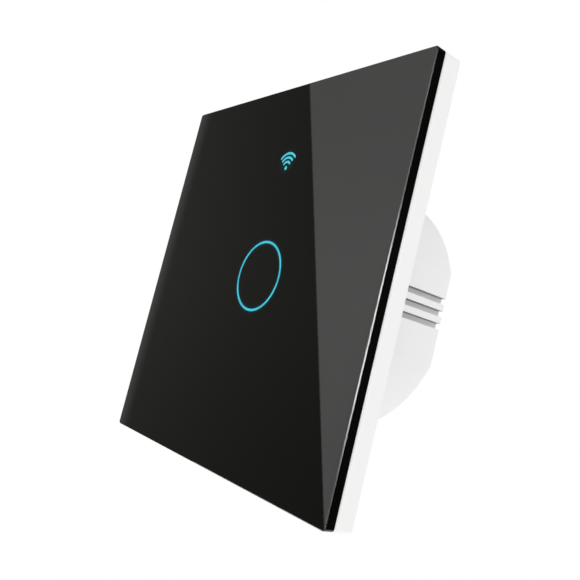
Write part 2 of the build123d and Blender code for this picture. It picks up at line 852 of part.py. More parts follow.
# Clamp screws and rising cages, each its own moving piece
for number, x in enumerate(terminal_x, start=1):
    shank_front = bar_back + screw_tip_gap
    with BuildPart() as terminal_screw:
        with BuildSketch(wall_plane(head_back)):
            with Locations((x, cavity_middle_z)):
                Circle(terminal_head_radius)
        extrude(amount=terminal_head_depth)
        with BuildSketch(wall_plane(head_front)):
            with Locations((x, cavity_middle_z)):
                Circle(terminal_screw_radius)
        extrude(amount=head_front - shank_front)
        with Locations((x, head_back - terminal_slot_depth, cavity_middle_z)):
            Box(
                2 * terminal_head_radius,
                terminal_slot_depth,
                terminal_slot_width,
                align=room_side,
                mode=Mode.SUBTRACT,
            )
    write_piece(terminal_screw.part, f"terminal_screw_{number}")

    with BuildPart() as terminal_cage:
        with Locations((x, cage_front, cavity_middle_z)):
            Box(cage_width, cage_depth, cage_height, align=room_side)
        with Locations((x, cage_foot_back, cavity_middle_z)):
            Box(
                cage_width - 2 * cage_wall,
                cage_depth - cage_foot_thickness - cage_head_thickness,
                cage_height,
                align=room_side,
                mode=Mode.SUBTRACT,
            )
        with BuildSketch(wall_plane(cage_back)):
            with Locations((x, cavity_middle_z)):
                Circle(terminal_screw_radius + terminal_thread_clearance)
        extrude(amount=cage_head_thickness, mode=Mode.SUBTRACT)
    write_piece(terminal_cage.part, f"terminal_cage_{number}")

# Transformer: ferrite core round a bobbin that stands on two pin rails
core_front = power_board_back + core_lift
core_back = core_front + core_thickness
core_middle = (core_front + core_back) / 2
bobbin_side = core_centre_limb + 2 * press_clearance + 2 * bobbin_wall
bobbin_deep = core_thickness + 2 * press_clearance + 2 * bobbin_wall
window_width = core_side / 2 - core_limb - core_centre_limb / 2
with BuildPart() as transformer_core:
    with Locations((transformer_x, core_front, transformer_z)):
        Box(core_side, core_thickness, core_side, align=room_side)
    for side in (-1, 1):
        window_x = transformer_x + side * (core_centre_limb + window_width) / 2
        with Locations((window_x, core_front, transformer_z)):
            Box(
                window_width,
                core_thickness,
                core_side - 2 * core_limb,
                align=room_side,
                mode=Mode.SUBTRACT,
            )
write_piece(transformer_core.part, "transformer_core")

flange_middle = bobbin_half_length - flange_thickness / 2
with BuildPart() as transformer_bobbin:
    with Locations((transformer_x, core_middle, transformer_z)):
        Box(bobbin_side, bobbin_deep, 2 * bobbin_half_length)
    for side in (-1, 1):
        flange_z = transformer_z + side * flange_middle
        with Locations((transformer_x, core_middle, flange_z)):
            Box(2 * flange_half_width, core_thickness + 2 * flange_reach, flange_thickness)
        rail_z = transformer_z + side * (bobbin_half_length - flange_thickness + rail_length / 2)
        with Locations((transformer_x, power_board_back, rail_z)):
            Box(core_side, rail_depth, rail_length, align=room_side)
    with Locations((transformer_x, core_middle, transformer_z)):
        Box(
            core_centre_limb + 2 * press_clearance,
            core_thickness + 2 * press_clearance,
            2 * bobbin_half_length,
            mode=Mode.SUBTRACT,
        )
write_piece(transformer_bobbin.part, "transformer_bobbin")

with BuildPart() as transformer_winding:
    winding_length = 2 * (bobbin_half_length - flange_thickness) - 2 * press_clearance
    with Locations((transformer_x, core_middle, transformer_z)):
        Box(
            2 * (flange_half_width - slide_clearance),
            core_thickness + 2 * winding_reach,
            winding_length,
        )
    fillet(transformer_winding.edges().filter_by(Axis.Z), radius=winding_reach / 2)
    with Locations((transformer_x, core_middle, transformer_z)):
        Box(
            bobbin_side + 2 * press_clearance,
            bobbin_deep + 2 * press_clearance,
            winding_length,
            mode=Mode.SUBTRACT,
        )
write_piece(transformer_winding.part, "transformer_winding")


def capacitor_can(x, z, radius, depth):
    """An upright capacitor can: a bead near its foot and a rounded top."""
    with Locations(Plane(origin=(x, power_board_back, z), x_dir=(1, 0, 0), z_dir=(0, 1, 0))):
        Cylinder(radius, depth, align=(Align.CENTER, Align.CENTER, Align.MIN))


for name, x, z, radius, depth in (
    (
        "input_capacitor",
        input_capacitor_x,
        input_capacitor_z,
        input_capacitor_radius,
        input_capacitor_depth,
    ),
    (
        "output_capacitor",
        output_capacitor_x,
        output_capacitor_z,
        output_capacitor_radius,
        output_capacitor_depth,
    ),
):
    with BuildPart() as capacitor:
        capacitor_can(x, z, radius, depth)
        fillet(capacitor.faces().sort_by(Axis.Y)[-1].edges(), radius=capacitor_edge)
        bead_plane = Plane(
            origin=(x, power_board_back + 2 * capacitor_edge, z), x_dir=(1, 0, 0), z_dir=(0, 1, 0)
        )
        with Locations(bead_plane):
            Torus(radius, capacitor_bead, mode=Mode.SUBTRACT)
    write_piece(capacitor.part, name)

# Box-shaped film capacitor and fuse with rounded edges
with BuildPart() as film_capacitor:
    with Locations((film_x, power_board_back, film_z)):
        Box(film_width, film_depth, film_height, align=room_side)
    fillet(film_capacitor.edges().filter_by(Axis.Y), radius=film_edge)
    fillet(film_capacitor.faces().sort_by(Axis.Y)[-1].edges(), radius=film_edge / 2)
write_piece(film_capacitor.part, "film_capacitor")

with BuildPart() as fuse:
    with Locations((fuse_x, power_board_back, fuse_z)):
        Box(fuse_width, fuse_depth, fuse_height, align=room_side)
    fillet(fuse.edges().filter_by(Axis.Y), radius=fuse_edge)
    fillet(fuse.faces().sort_by(Axis.Y)[-1].edges(), radius=fuse_edge / 2)
write_piece(fuse.part, "fuse")

# Disc varistor on two short leads
with BuildPart() as varistor:
    varistor_y = power_board_back + lead_length + varistor_radius
    with Locations(Plane(origin=(varistor_x, varistor_y, varistor_z))):
        Cylinder(varistor_radius, varistor_thickness)
    fillet(varistor.edges(), radius=capacitor_edge)
    with BuildSketch(wall_plane(varistor_y)):
        with Locations((varistor_x, varistor_z)):
            with GridLocations(2 * lead_spread, 0, 2, 1):
                Circle(lead_radius)
    extrude(amount=varistor_y - power_board_back)
write_piece(varistor.part, "varistor")

with BuildPart() as bridge_rectifier:
    chip_package(rectifier_x, power_board_back, rectifier_z)
write_piece(bridge_rectifier.part, "bridge_rectifier")

with BuildPart() as power_controller:
    chip_package(controller_x, power_board_back, controller_z)
write_piece(power_controller.part, "power_controller")

with BuildPart() as power_board_parts:
    for column in range(power_part_columns):
        for row in range(power_part_rows):
            place_x = power_part_x + column * small_part_pitch
            place_z = power_part_z + row * small_part_pitch
            with Locations((place_x, power_board_back, place_z)):
                Box(small_part_length, small_part_height, small_part_width, align=room_side)
write_piece(power_board_parts.part, "power_board_parts")

# Relay base and cover
relay_inner_width = relay_width - 2 * relay_wall
relay_inner_height = relay_height - 2 * relay_wall
relay_base_back = power_board_back + relay_base_depth
with BuildPart() as relay_base:
    with Locations((relay_x, power_board_back, 0)):
        Box(
            relay_inner_width - 2 * press_clearance,
            relay_base_depth,
            relay_inner_height - 2 * press_clearance,
            align=room_side,
        )
    with Locations((relay_x, power_board_back, fixed_blade_z + fixed_blade_thickness / 2)):
        Box(
            relay_tail_width + 2 * press_clearance,
            relay_base_depth,
            fixed_blade_thickness + 2 * press_clearance,
            align=room_side,
            mode=Mode.SUBTRACT,
        )
write_piece(relay_base.part, "relay_base")

with BuildPart() as relay_cover:
    cover_front = power_board_back + relay_cover_lift
    cover_depth = relay_depth - relay_cover_lift
    with Locations((relay_x, cover_front, 0)):
        Box(relay_width, cover_depth, relay_height, align=room_side)
    fillet(relay_cover.edges().filter_by(Axis.Y), radius=relay_edge)
    fillet(relay_cover.faces().sort_by(Axis.Y)[-1].edges(), radius=relay_edge / 2)
    with Locations((relay_x, cover_front, 0)):
        Box(
            relay_inner_width,
            cover_depth - relay_wall,
            relay_inner_height,
            align=room_side,
            mode=Mode.SUBTRACT,
        )
write_piece(relay_cover.part, "relay_cover")

# Relay magnet: yoke, coil on its bobbin, and the core that ends in a pole face
yoke_foot_back = relay_base_back + yoke_thickness
coil_back = yoke_foot_back + coil_length
pole_back = coil_back + pole_thickness
armature_front = pole_back + armature_gap
yoke_back = armature_front - armature_seat_gap
with BuildPart() as relay_yoke:
    with Locations((relay_x, relay_base_back, yoke_back_z)):
        Box(
            yoke_width,
            yoke_thickness,
            yoke_foot_end_z - yoke_back_z,
            align=room_side_low,
        )
        Box(
            yoke_width,
            yoke_back - relay_base_back,
            yoke_upright,
            align=room_side_low,
        )
    with BuildSketch(wall_plane(yoke_foot_back)):
        with Locations((relay_x, coil_z)):
            Circle(relay_core_radius + thread_clearance)
    extrude(amount=yoke_thickness, mode=Mode.SUBTRACT)
write_piece(relay_yoke.part, "relay_yoke")

with BuildPart() as relay_bobbin:
    with BuildSketch(wall_plane(coil_back)):
        with Locations((relay_x, coil_z)):
            Circle(coil_flange_radius)
    extrude(amount=coil_flange)
    with BuildSketch(wall_plane(coil_back)):
        with Locations((relay_x, coil_z)):
            Circle(coil_tube_radius)
    extrude(amount=coil_length)
    with BuildSketch(wall_plane(yoke_foot_back + coil_flange)):
        with Locations((relay_x, coil_z)):
            Circle(coil_flange_radius)
    extrude(amount=coil_flange)
    with BuildSketch(wall_plane(coil_back)):
        with Locations((relay_x, coil_z)):
            Circle(relay_core_radius + press_clearance)
    extrude(amount=coil_length, mode=Mode.SUBTRACT)
write_piece(relay_bobbin.part, "relay_bobbin")

with BuildPart() as relay_winding:
    with BuildSketch(wall_plane(coil_back - coil_flange)):
        with Locations((relay_x, coil_z)):
            Circle(coil_winding_radius)
            Circle(coil_tube_radius + thread_clearance, mode=Mode.SUBTRACT)
    extrude(amount=coil_length - 2 * coil_flange)
write_piece(relay_winding.part, "relay_winding")

with BuildPart() as relay_core:
    with BuildSketch(wall_plane(pole_back)):
        with Locations((relay_x, coil_z)):
            Circle(pole_radius)
    extrude(amount=pole_thickness)
    with BuildSketch(wall_plane(coil_back)):
        with Locations((relay_x, coil_z)):
            Circle(relay_core_radius)
    extrude(amount=coil_back - relay_base_back)
write_piece(relay_core.part, "relay_core")

# Armature that tips on the yoke, and the contact leaf that it carries
with BuildPart() as relay_armature:
    with Locations((relay_x, armature_front, yoke_back_z)):
        Box(
            armature_width,
            armature_thickness,
            armature_end_z - yoke_back_z,
            align=room_side_low,
        )
write_piece(relay_armature.part, "relay_armature")

armature_back = armature_front + armature_thickness
with BuildPart() as relay_contact_leaf:
    with Locations((relay_x, armature_back, leaf_start_z)):
        Box(
            leaf_width,
            leaf_thickness,
            leaf_end_z - leaf_start_z,
            align=room_side_low,
        )
    with BuildSketch(wall_plane(armature_back)):
        with Locations((relay_x, contact_z)):
            Circle(contact_radius)
    extrude(amount=armature_thickness)
write_piece(relay_contact_leaf.part, "relay_contact_leaf")

with BuildPart() as relay_fixed_contact:
    button_back = armature_front - contact_gap
    tab_back = button_back - fixed_button_height
    tab_front = tab_back - fixed_tab_thickness
    tab_start_z = contact_z - contact_radius
    with BuildSketch(wall_plane(button_back)):
        with Locations((relay_x, contact_z)):
            Circle(contact_radius)
    extrude(amount=fixed_button_height)
    with Locations((relay_x, tab_front, tab_start_z)):
        Box(
            leaf_width,
            fixed_tab_thickness,
            fixed_blade_z + fixed_blade_thickness - tab_start_z,
            align=room_side_low,
        )
    with Locations((relay_x, relay_base_back, fixed_blade_z)):
        Box(
            leaf_width,
            tab_back - relay_base_back,
            fixed_blade_thickness,
            align=room_side_low,
        )
    with Locations((relay_x, tail_front, fixed_blade_z)):
        Box(
            relay_tail_width,
            relay_base_back - tail_front,
            fixed_blade_thickness,
            align=room_side_low,
        )
write_piece(relay_fixed_contact.part, "relay_fixed_contact")
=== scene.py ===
# %% [markdown]
# # A touch light switch, dressed in Blender
#
# The switch is a square black glass plate on a thin white frame, with a round white
# body behind it that sinks into the wall box. Its solids were built in CAD and packed
# with their joints. Here they are loaded as a fixed frame, and this lesson gives them
# glass, plastic, metal and light. The scene is in metres. X points to the right seen
# from the room, Y points into the wall and Z points up.

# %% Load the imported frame
import math

import bmesh
import bpy
from mathutils import Matrix, Vector


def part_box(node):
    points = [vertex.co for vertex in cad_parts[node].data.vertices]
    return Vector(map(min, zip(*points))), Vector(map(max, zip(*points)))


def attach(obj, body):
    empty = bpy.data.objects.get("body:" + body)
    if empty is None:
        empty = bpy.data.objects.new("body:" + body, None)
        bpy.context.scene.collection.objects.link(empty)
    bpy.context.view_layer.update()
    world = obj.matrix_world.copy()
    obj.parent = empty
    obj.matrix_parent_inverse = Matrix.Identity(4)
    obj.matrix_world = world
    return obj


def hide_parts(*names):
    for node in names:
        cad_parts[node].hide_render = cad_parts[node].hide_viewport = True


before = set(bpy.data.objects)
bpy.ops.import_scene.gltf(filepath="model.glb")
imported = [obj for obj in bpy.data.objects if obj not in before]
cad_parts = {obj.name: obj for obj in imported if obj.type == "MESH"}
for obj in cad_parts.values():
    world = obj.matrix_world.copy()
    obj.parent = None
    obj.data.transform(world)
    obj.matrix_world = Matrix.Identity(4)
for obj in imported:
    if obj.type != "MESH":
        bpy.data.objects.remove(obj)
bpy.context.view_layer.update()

# %% [markdown]
# ## The camera
#
# The photograph was taken from close by, a little below the middle of the plate and from
# its right. A near camera makes the left edge look much shorter than the right one, so
# the camera's place matters more than its focal length. It was solved from the four
# corners of the square plate, whose real side is 86 mm. The camera is also rolled, which
# is why the switch seems to lean. The nearest edge is only about 120 mm away, and a
# pulled panel comes nearer still, so the near clipping distance is set well below
# Blender's default of 100 mm.

# %% Camera
mm = 0.001
camera_place = Vector((130.2, -87.26, -18.48)) * mm
camera_right = Vector((0.58640, 0.77340, 0.24082))
camera_up = Vector((-0.05624, -0.25771, 0.96458))
photo_side = 580
focal_pixels = 702.5
sensor_width = 36
near_clip, far_clip = 5 * mm, 50


def put_camera():
    """A camera at the photograph's place, from its right and up directions."""
    data = bpy.data.cameras.new("camera")
    data.sensor_width = sensor_width
    data.lens = sensor_width * focal_pixels / photo_side
    data.clip_start = near_clip
    data.clip_end = far_clip
    camera = bpy.data.objects.new("camera", data)
    bpy.context.scene.collection.objects.link(camera)
    back = camera_right.cross(camera_up)
    turn = Matrix((camera_right, camera_up, back)).transposed()
    camera.matrix_world = Matrix.Translation(camera_place) @ turn.to_4x4()
    bpy.context.scene.camera = camera
    return camera


camera = put_camera()
print("focal length in mm:", round(camera.data.lens, 2))

# %% [markdown]
# ## Helpers for node trees
#
# Materials and the world are trees of nodes. In the editor each node is placed and wired
# by hand. In a script a few short helpers do the same, and a long chain of nodes then
# reads like a formula: each helper adds a node, wires it and gives back its output. An
# output knows which tree it belongs to, so the helpers find the tree by themselves.

# %% Node helpers
def fill(node, sockets):
    """Links a socket, or types a value, into each input given by name or number."""
    for name, value in sockets.items():
        if isinstance(value, bpy.types.NodeSocket):
            node.id_data.links.new(value, node.inputs[name])
        else:
            node.inputs[name].default_value = value


def add(kind, sockets, **settings):
    """Adds a node to the tree of its sockets, sets its properties and fills its inputs."""
    linked = [value for value in sockets.values() if isinstance(value, bpy.types.NodeSocket)]
    made = linked[0].id_data.nodes.new(kind)
    for name, value in settings.items():
        setattr(made, name, value)
    fill(made, sockets)
    return made


def math_node(operation, first, second=0.0, third=0.0):
    """One Math node; each input is a socket or a number."""
    sockets = {0: first, 1: second, 2: third}
    return add("ShaderNodeMath", sockets, operation=operation).outputs["Value"]


def vector_node(operation, output, *inputs):
    """One Vector Math node, and its output of that name."""
    sockets = dict(enumerate(inputs))
    return add("ShaderNodeVectorMath", sockets, operation=operation).outputs[output]


def apart(value, middle=0.0):
    """How far a value is from a middle, either way."""
    if middle:
        value = math_node("SUBTRACT", value, middle)
    return math_node("ABSOLUTE", value)


def folded(operation, values):
    """Several sockets taken together, one after the other, by one operation."""
    result = values[0]
    for value in values[1:]:
        result = math_node(operation, result, value)
    return result


def total(*lights):
    """The sum of several sockets."""
    return folded("ADD", lights)


def product(*factors):
    """Several sockets multiplied."""
    return folded("MULTIPLY", factors)


print("sums and products ready")


# %% Blending helpers
def ramp(value, low, high, to_low=0.0, to_high=1.0, curve="SMOOTHSTEP"):
    """Maps value from the span low to high onto the span to_low to to_high."""
    sockets = {"Value": value, "From Min": low, "From Max": high}
    sockets.update({"To Min": to_low, "To Max": to_high})
    return add("ShaderNodeMapRange", sockets, interpolation_type=curve).outputs["Result"]


def below(value, start, end):
    """One up to start, and falling to zero at end."""
    return ramp(value, start, end, 1.0, 0.0)


def either(mask, first, second):
    """The first number where a mask is zero, and the second where it is one."""
    return add("ShaderNodeMix", {0: mask, 2: first, 3: second}, data_type="FLOAT").outputs[0]


def mixed(mask, first, second):
    """Two colours, or colour sockets, blended by a mask."""
    return add("ShaderNodeMix", {0: mask, 6: first, 7: second}, data_type="RGBA").outputs[2]


print("ramps and blends ready")

# %% [markdown]
# ## The studio
#
# The picture has a white ground with no visible floor line, and a dark plate that mirrors
# one large soft card. A mirror shows what stands in front of it, so the plate's look is
# made by the room. The world shader draws that room by direction: each ramp below names
# a span of directions and its value at both ends. The camera sees plain white. Matt
# surfaces get soft light from all round, more from above and from the front right, and
# less from behind and from the left. Glossy surfaces see a dim room with a white ceiling,
# a bright wall behind the switch, one card whose straight edge crosses the plate, a faint
# strip at the plate's left edge, a soft light that faces the plate, and a narrow upright
# lamp that lights the thin ground edge of the glass. The dim part of the room is a touch
# warm, because the photograph's black is. Real cards and lamps would do the same, but
# they would stand in the way of the other views.

# %% World
card_edge = Vector((0.6132, -0.7432, 0.2676)).normalized()
strip_edge = Vector((-0.4314, 0.9022, 0.0)).normalized()
facing_side = Vector((-0.45, 0.0, 0.89))
lamp_direction = Vector((0.680, -0.733, 0.0))
lamp_side = Vector((0.733, 0.680, 0.0))
white, warm_white = (1, 1, 1, 1), (1, 1, 0.89, 1)


def along(direction, fixed):
    """How far a direction points along a fixed one, from -1 to 1."""
    return vector_node("DOT_PRODUCT", "Value", direction, fixed)


def mirrored_room(look):
    """What glossy surfaces see, and the dim room's share of it."""
    upwards = along(look, (0, 0, 1))
    leftwards = along(look, (-1, 0, 0))
    towards_room = along(look, (0, -1, 0))
    height = apart(upwards, 0.1)
    dim = product(
        ramp(height, 0.0, 0.3, 0.188, 0.147),
        ramp(leftwards, -0.6, 0.2, 0.35, 1.0),
    )
    ceiling = ramp(upwards, 0.62, 0.95, 0.0, 0.8)
    rear_wall = product(
        ramp(towards_room, -0.97, -0.70, 0.9, 0.0),
        ramp(upwards, -0.20, 0.12, 0.25, 1.0),
    )
    card = product(
        ramp(along(look, card_edge), 0.0, 0.003),
        ramp(leftwards, 0.30, 0.60),
        ramp(towards_room, 0.52, 0.66, 0.66, 1.12, curve="LINEAR"),
        ramp(height, 0.0, 0.3, 0.98, 0.90),
    )
    strip = product(
        ramp(along(look, strip_edge), -0.006, 0.012, 0.0, 0.29),
        ramp(towards_room, 0.25, 0.40),
    )
    facing = product(
        ramp(along(look, facing_side), -0.30, 0.35, 0.08, 0.8),
        ramp(towards_room, 0.78, 0.97),
    )
    lamp = product(
        ramp(upwards, -0.19, 0.01, 0.13, 1.0),
        ramp(upwards, 0.13, 0.31, 1.0, 0.16),
        below(apart(upwards), 0.45, 0.55),
        ramp(apart(along(look, lamp_side)), 0.026, 0.044, 19.0, 0.0),
        ramp(towards_room, 0.3, 0.4),
    )
    light = total(dim, ceiling, rear_wall, card, strip, facing, lamp)
    return light, math_node("DIVIDE", dim, light)


def build_world():
    """The room by direction: white for the camera, soft for matt and drawn for glossy rays."""
    world = bpy.data.worlds.new("studio")
    bpy.context.scene.world = world
    world.use_nodes = True
    tree = world.node_tree
    look = tree.nodes.new("ShaderNodeTexCoord").outputs["Generated"]
    glossy, dim_share = mirrored_room(look)
    soft = total(
        ramp(along(look, (0, 0, 1)), -1.0, 1.0, 0.74, 1.04),
        ramp(along(look, lamp_direction), 0.3, 1.0, 0.0, 0.46),
        ramp(along(look, (0, 1, 0)), 0.1, 1.0, 0.0, -0.34),
        ramp(along(look, (-1, 0, 0)), 0.1, 1.0, 0.0, -0.16),
    )
    path = tree.nodes.new("ShaderNodeLightPath").outputs
    light = either(path["Is Glossy Ray"], soft, glossy)
    light = either(path["Is Camera Ray"], light, 1.0)
    warmth = product(dim_share, path["Is Glossy Ray"])
    tint = mixed(warmth, white, warm_white)
    fill(tree.nodes["Background"], {"Strength": light, "Color": tint})
    return world


build_world()
bpy.context.scene.view_settings.view_transform = "Standard"
print("world nodes:", len(bpy.context.scene.world.node_tree.nodes))

# %% [markdown]
# ## Making pieces
#
# Each new piece is made in a bmesh, in millimetres, and scaled to metres once at the
# end. Its place is in its mesh and its object stays at the origin, so that a pattern on
# object coordinates stays where it is. A piece rides on one of the imported bodies, takes
# one finish, and may stand for a CAD solid.

# %% Piece helpers
def finish_piece(name, bm, body, material, stands_for=(), smooth_angle=25):
    """Turns a bmesh in millimetres into a piece that rides on a body."""
    bmesh.ops.recalc_face_normals(bm, faces=bm.faces)
    bmesh.ops.scale(bm, vec=(mm, mm, mm), verts=bm.verts)
    mesh = bpy.data.meshes.new(name)
    bm.to_mesh(mesh)
    bm.free()
    mesh.polygons.foreach_set("use_smooth", [True] * len(mesh.polygons))
    mesh.set_sharp_from_angle(angle=math.radians(smooth_angle))
    mesh.materials.append(material)
    piece = bpy.data.objects.new(name, mesh)
    bpy.context.scene.collection.objects.link(piece)
    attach(piece, body)
    if stands_for:
        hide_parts(*stands_for)
    print(name, "faces:", len(mesh.polygons))
    return piece


def node_box(name):
    """A CAD solid's lowest and highest corner in millimetres."""
    low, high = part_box(name)
    return low / mm, high / mm


def bevel(bm, geom, offset, segments, affect="EDGES"):
    """Rounds edges or corners in even steps."""
    bmesh.ops.bevel(
        bm, geom=geom, offset=offset, affect=affect, segments=segments, profile=0.5, material=-1
    )


print("piece helpers ready")


# %% Basic shapes
def slab(low, high, corner=0.0, segments=8):
    """A bmesh block between two corners, with its four edges along Y rounded."""
    bm = bmesh.new()
    bmesh.ops.create_cube(bm, size=1)
    low, high = Vector(low), Vector(high)
    bmesh.ops.scale(bm, vec=high - low, verts=bm.verts)
    bmesh.ops.translate(bm, vec=(low + high) / 2, verts=bm.verts)
    if corner:
        ways = {edge: (edge.verts[0].co - edge.verts[1].co).normalized() for edge in bm.edges}
        bevel(bm, [edge for edge, way in ways.items() if abs(way.y) > 0.9], corner, segments)
    return bm


def stacked(centre, steps, corner, segments=6):
    """A rounded rectangle, extruded and scaled through (level, half width, half height)."""
    bm = bmesh.new()
    level, half_width, half_height = steps[0]
    corners = []
    for side, up in ((1, 1), (-1, 1), (-1, -1), (1, -1)):
        place = (centre.x + side * half_width, level, centre.z + up * half_height)
        corners.append(bm.verts.new(place))
    bm.faces.new(corners)
    bevel(bm, corners, corner, segments, affect="VERTICES")
    outline = bm.faces[:][0]
    start = outline
    for next_level, next_width, next_height in steps[1:]:
        grown = bmesh.ops.extrude_face_region(bm, geom=[outline])["geom"]
        if outline is not start:
            bmesh.ops.delete(bm, geom=[outline], context="FACES_ONLY")
        outline = [part for part in grown if isinstance(part, bmesh.types.BMFace)][0]
        factors = (next_width / half_width, 1, next_height / half_height)
        bmesh.ops.translate(bm, vec=(0, next_level - level, 0), verts=outline.verts)
        bmesh.ops.scale(bm, vec=factors, verts=outline.verts, space=Matrix.Translation(-centre))
        level, half_width, half_height = next_level, next_width, next_height
    return bm


def join(bm, other):
    """Moves the mesh of another bmesh into bm."""
    spare = bpy.data.meshes.new("spare")
    other.to_mesh(spare)
    other.free()
    bm.from_mesh(spare)
    bpy.data.meshes.remove(spare)


print("shape helpers ready")

# %% [markdown]
# ## Shared surface effects
#
# A moulded or cast surface is never one even colour. Two effects cover most of the
# pieces. The first is the skin of moulded plastic: broad, faint clouds in the colour and
# a fine grain that changes the gloss. The second is drawn or rolled metal: fine lines in
# one direction, and a little tarnish. Each is a node group that gives only a colour, a
# roughness and a height, and the shader itself stays in each material.

# %% Noise helpers
def scaled(tint, factor):
    """A colour or a vector times a factor."""
    sockets = {0: tint, "Scale": factor}
    return add("ShaderNodeVectorMath", sockets, operation="SCALE").outputs["Vector"]


def noise(place, scale, detail=2):
    """Cloudy noise, from nearly 0 to nearly 1."""
    sockets = {"Vector": place, "Scale": scale, "Detail": detail}
    return add("ShaderNodeTexNoise", sockets).outputs["Fac"]


def spread(cloud, low, high):
    """Noise with its usual span of 0.3 to 0.7 mapped onto low to high."""
    return ramp(cloud, 0.3, 0.7, low, high)


print("noise helpers ready")

# %% Group helper
number, colour, vector = "NodeSocketFloat", "NodeSocketColor", "NodeSocketVector"
skin_outputs = [("Colour", colour), ("Roughness", number), ("Height", number)]
plain_grey = (0.8, 0.8, 0.8, 1)


def new_group(name, inputs, outputs):
    """A node group's tree, its inputs (name, kind, default) as sockets, and its output node."""
    tree = bpy.data.node_groups.new(name, "ShaderNodeTree")
    for label, kind, default in inputs:
        socket = tree.interface.new_socket(label, in_out="INPUT", socket_type=kind)
        if default is not None:
            socket.default_value = default
    for label, kind in outputs:
        tree.interface.new_socket(label, in_out="OUTPUT", socket_type=kind)
    given = tree.nodes.new("NodeGroupInput").outputs
    return tree, given, tree.nodes.new("NodeGroupOutput")


print("a skin gives:", [label for label, kind in skin_outputs])


# %% Moulded skin
def build_moulded_skin():
    """Plastic: clouded colour, and a fine grain in gloss and height."""
    inputs = [("Vector", vector, None), ("Colour", colour, plain_grey)]
    inputs += [("Clouding", number, 0.02), ("Gloss", number, 0.4), ("Grain", number, 4000.0)]
    tree, given, result = new_group("moulded_skin", inputs, skin_outputs)
    cloud = noise(given["Vector"], 55, 3)
    grain = noise(given["Vector"], given["Grain"])
    offset = math_node("SUBTRACT", cloud, 0.5)
    swing = math_node("MULTIPLY", given["Clouding"], 4.0)
    shade = math_node("MULTIPLY_ADD", offset, swing, 1.0)
    uneven = math_node("SUBTRACT", grain, 0.5)
    rough = math_node("MULTIPLY_ADD", uneven, 0.18, given["Gloss"])
    tint = scaled(given["Colour"], shade)
    fill(result, {"Colour": tint, "Roughness": rough, "Height": grain})
    return tree


moulded_skin = build_moulded_skin()
print("group:", moulded_skin.name)


# %% Drawn metal
def build_drawn_metal():
    """Metal: lines along the X axis of the vector, and patches of tarnish."""
    inputs = [("Vector", vector, None), ("Colour", colour, plain_grey)]
    inputs += [("Tarnish Colour", colour, (0.3, 0.25, 0.2, 1)), ("Tarnish", number, 0.15)]
    inputs += [("Gloss", number, 0.25), ("Lines", number, 6000.0)]
    tree, given, result = new_group("drawn_metal", inputs, skin_outputs)
    stretch = add("ShaderNodeMapping", {"Vector": given["Vector"], "Scale": (0.04, 1, 1)})
    lines = noise(stretch.outputs["Vector"], given["Lines"])
    patch = noise(given["Vector"], 420, 4)
    worn = product(ramp(patch, 0.48, 0.72), given["Tarnish"])
    uneven = math_node("SUBTRACT", lines, 0.5)
    rough = math_node("MULTIPLY_ADD", uneven, 0.25, given["Gloss"])
    rough = math_node("MULTIPLY_ADD", worn, 0.3, rough)
    tint = mixed(worn, given["Colour"], given["Tarnish Colour"])
    fill(result, {"Colour": tint, "Roughness": rough, "Height": lines})
    return tree


drawn_metal = build_drawn_metal()
print("group:", drawn_metal.name)


# %% [markdown]
# ## Finishes
#
# Each finish is one material. Most start from a Principled shader, take their colour and
# roughness from one of the groups, and turn the group's height into a very shallow bump.
# Values that are the same all over, such as metallic, are typed on the shader.

# %% Material helpers
def new_material(name):
    """A material, its shader, and the object coordinates that its patterns read."""
    material = bpy.data.materials.new(name)
    material.use_nodes = True
    nodes = material.node_tree.nodes
    place = nodes.new("ShaderNodeTexCoord").outputs["Object"]
    return material, nodes["Principled BSDF"], place


def in_millimetres(place):
    """The object coordinates as three sockets, X, Y and Z, in millimetres."""
    return add("ShaderNodeSeparateXYZ", {0: scaled(place, 1 / mm)}).outputs


def bump(shader, height, depth):
    """Feeds a height, worth depth millimetres, into the shader's normal."""
    node = add("ShaderNodeBump", {"Height": height, "Distance": depth * mm, "Strength": 1.0})
    fill(shader, {"Normal": node.outputs["Normal"]})


def use_group(group, place, values):
    """Places a node group, sets its inputs and gives its outputs."""
    return add("ShaderNodeGroup", {"Vector": place, **values}, node_tree=group).outputs


def paint(shader, tint, rough, metallic=0.0):
    """Sets a shader's colour, roughness and metallic; each is a socket or a value."""
    fill(shader, {"Base Color": tint, "Roughness": rough, "Metallic": metallic})


def coat(shader, skin, depth=None, tint=None, metallic=0.0):
    """Feeds a skin's colour, or one made from it, its roughness and its height to a shader."""
    paint(shader, skin["Colour"] if tint is None else tint, skin["Roughness"], metallic)
    if depth is not None:
        bump(shader, skin["Height"], depth)


def plastic(name, tint, clouding, gloss, grain, depth):
    """Moulded plastic in one tint."""
    material, shader, place = new_material(name)
    values = {"Colour": (*tint, 1), "Clouding": clouding, "Gloss": gloss, "Grain": grain}
    coat(shader, use_group(moulded_skin, place, values), depth)
    return material


def metal(name, tint, tarnish_tint, tarnish, gloss):
    """Drawn or rolled metal in one tint."""
    material, shader, place = new_material(name)
    values = {"Colour": (*tint, 1), "Tarnish Colour": (*tarnish_tint, 1)}
    values.update({"Tarnish": tarnish, "Gloss": gloss})
    coat(shader, use_group(drawn_metal, place, values), depth=0.002, metallic=1.0)
    return material


print("material helpers ready")

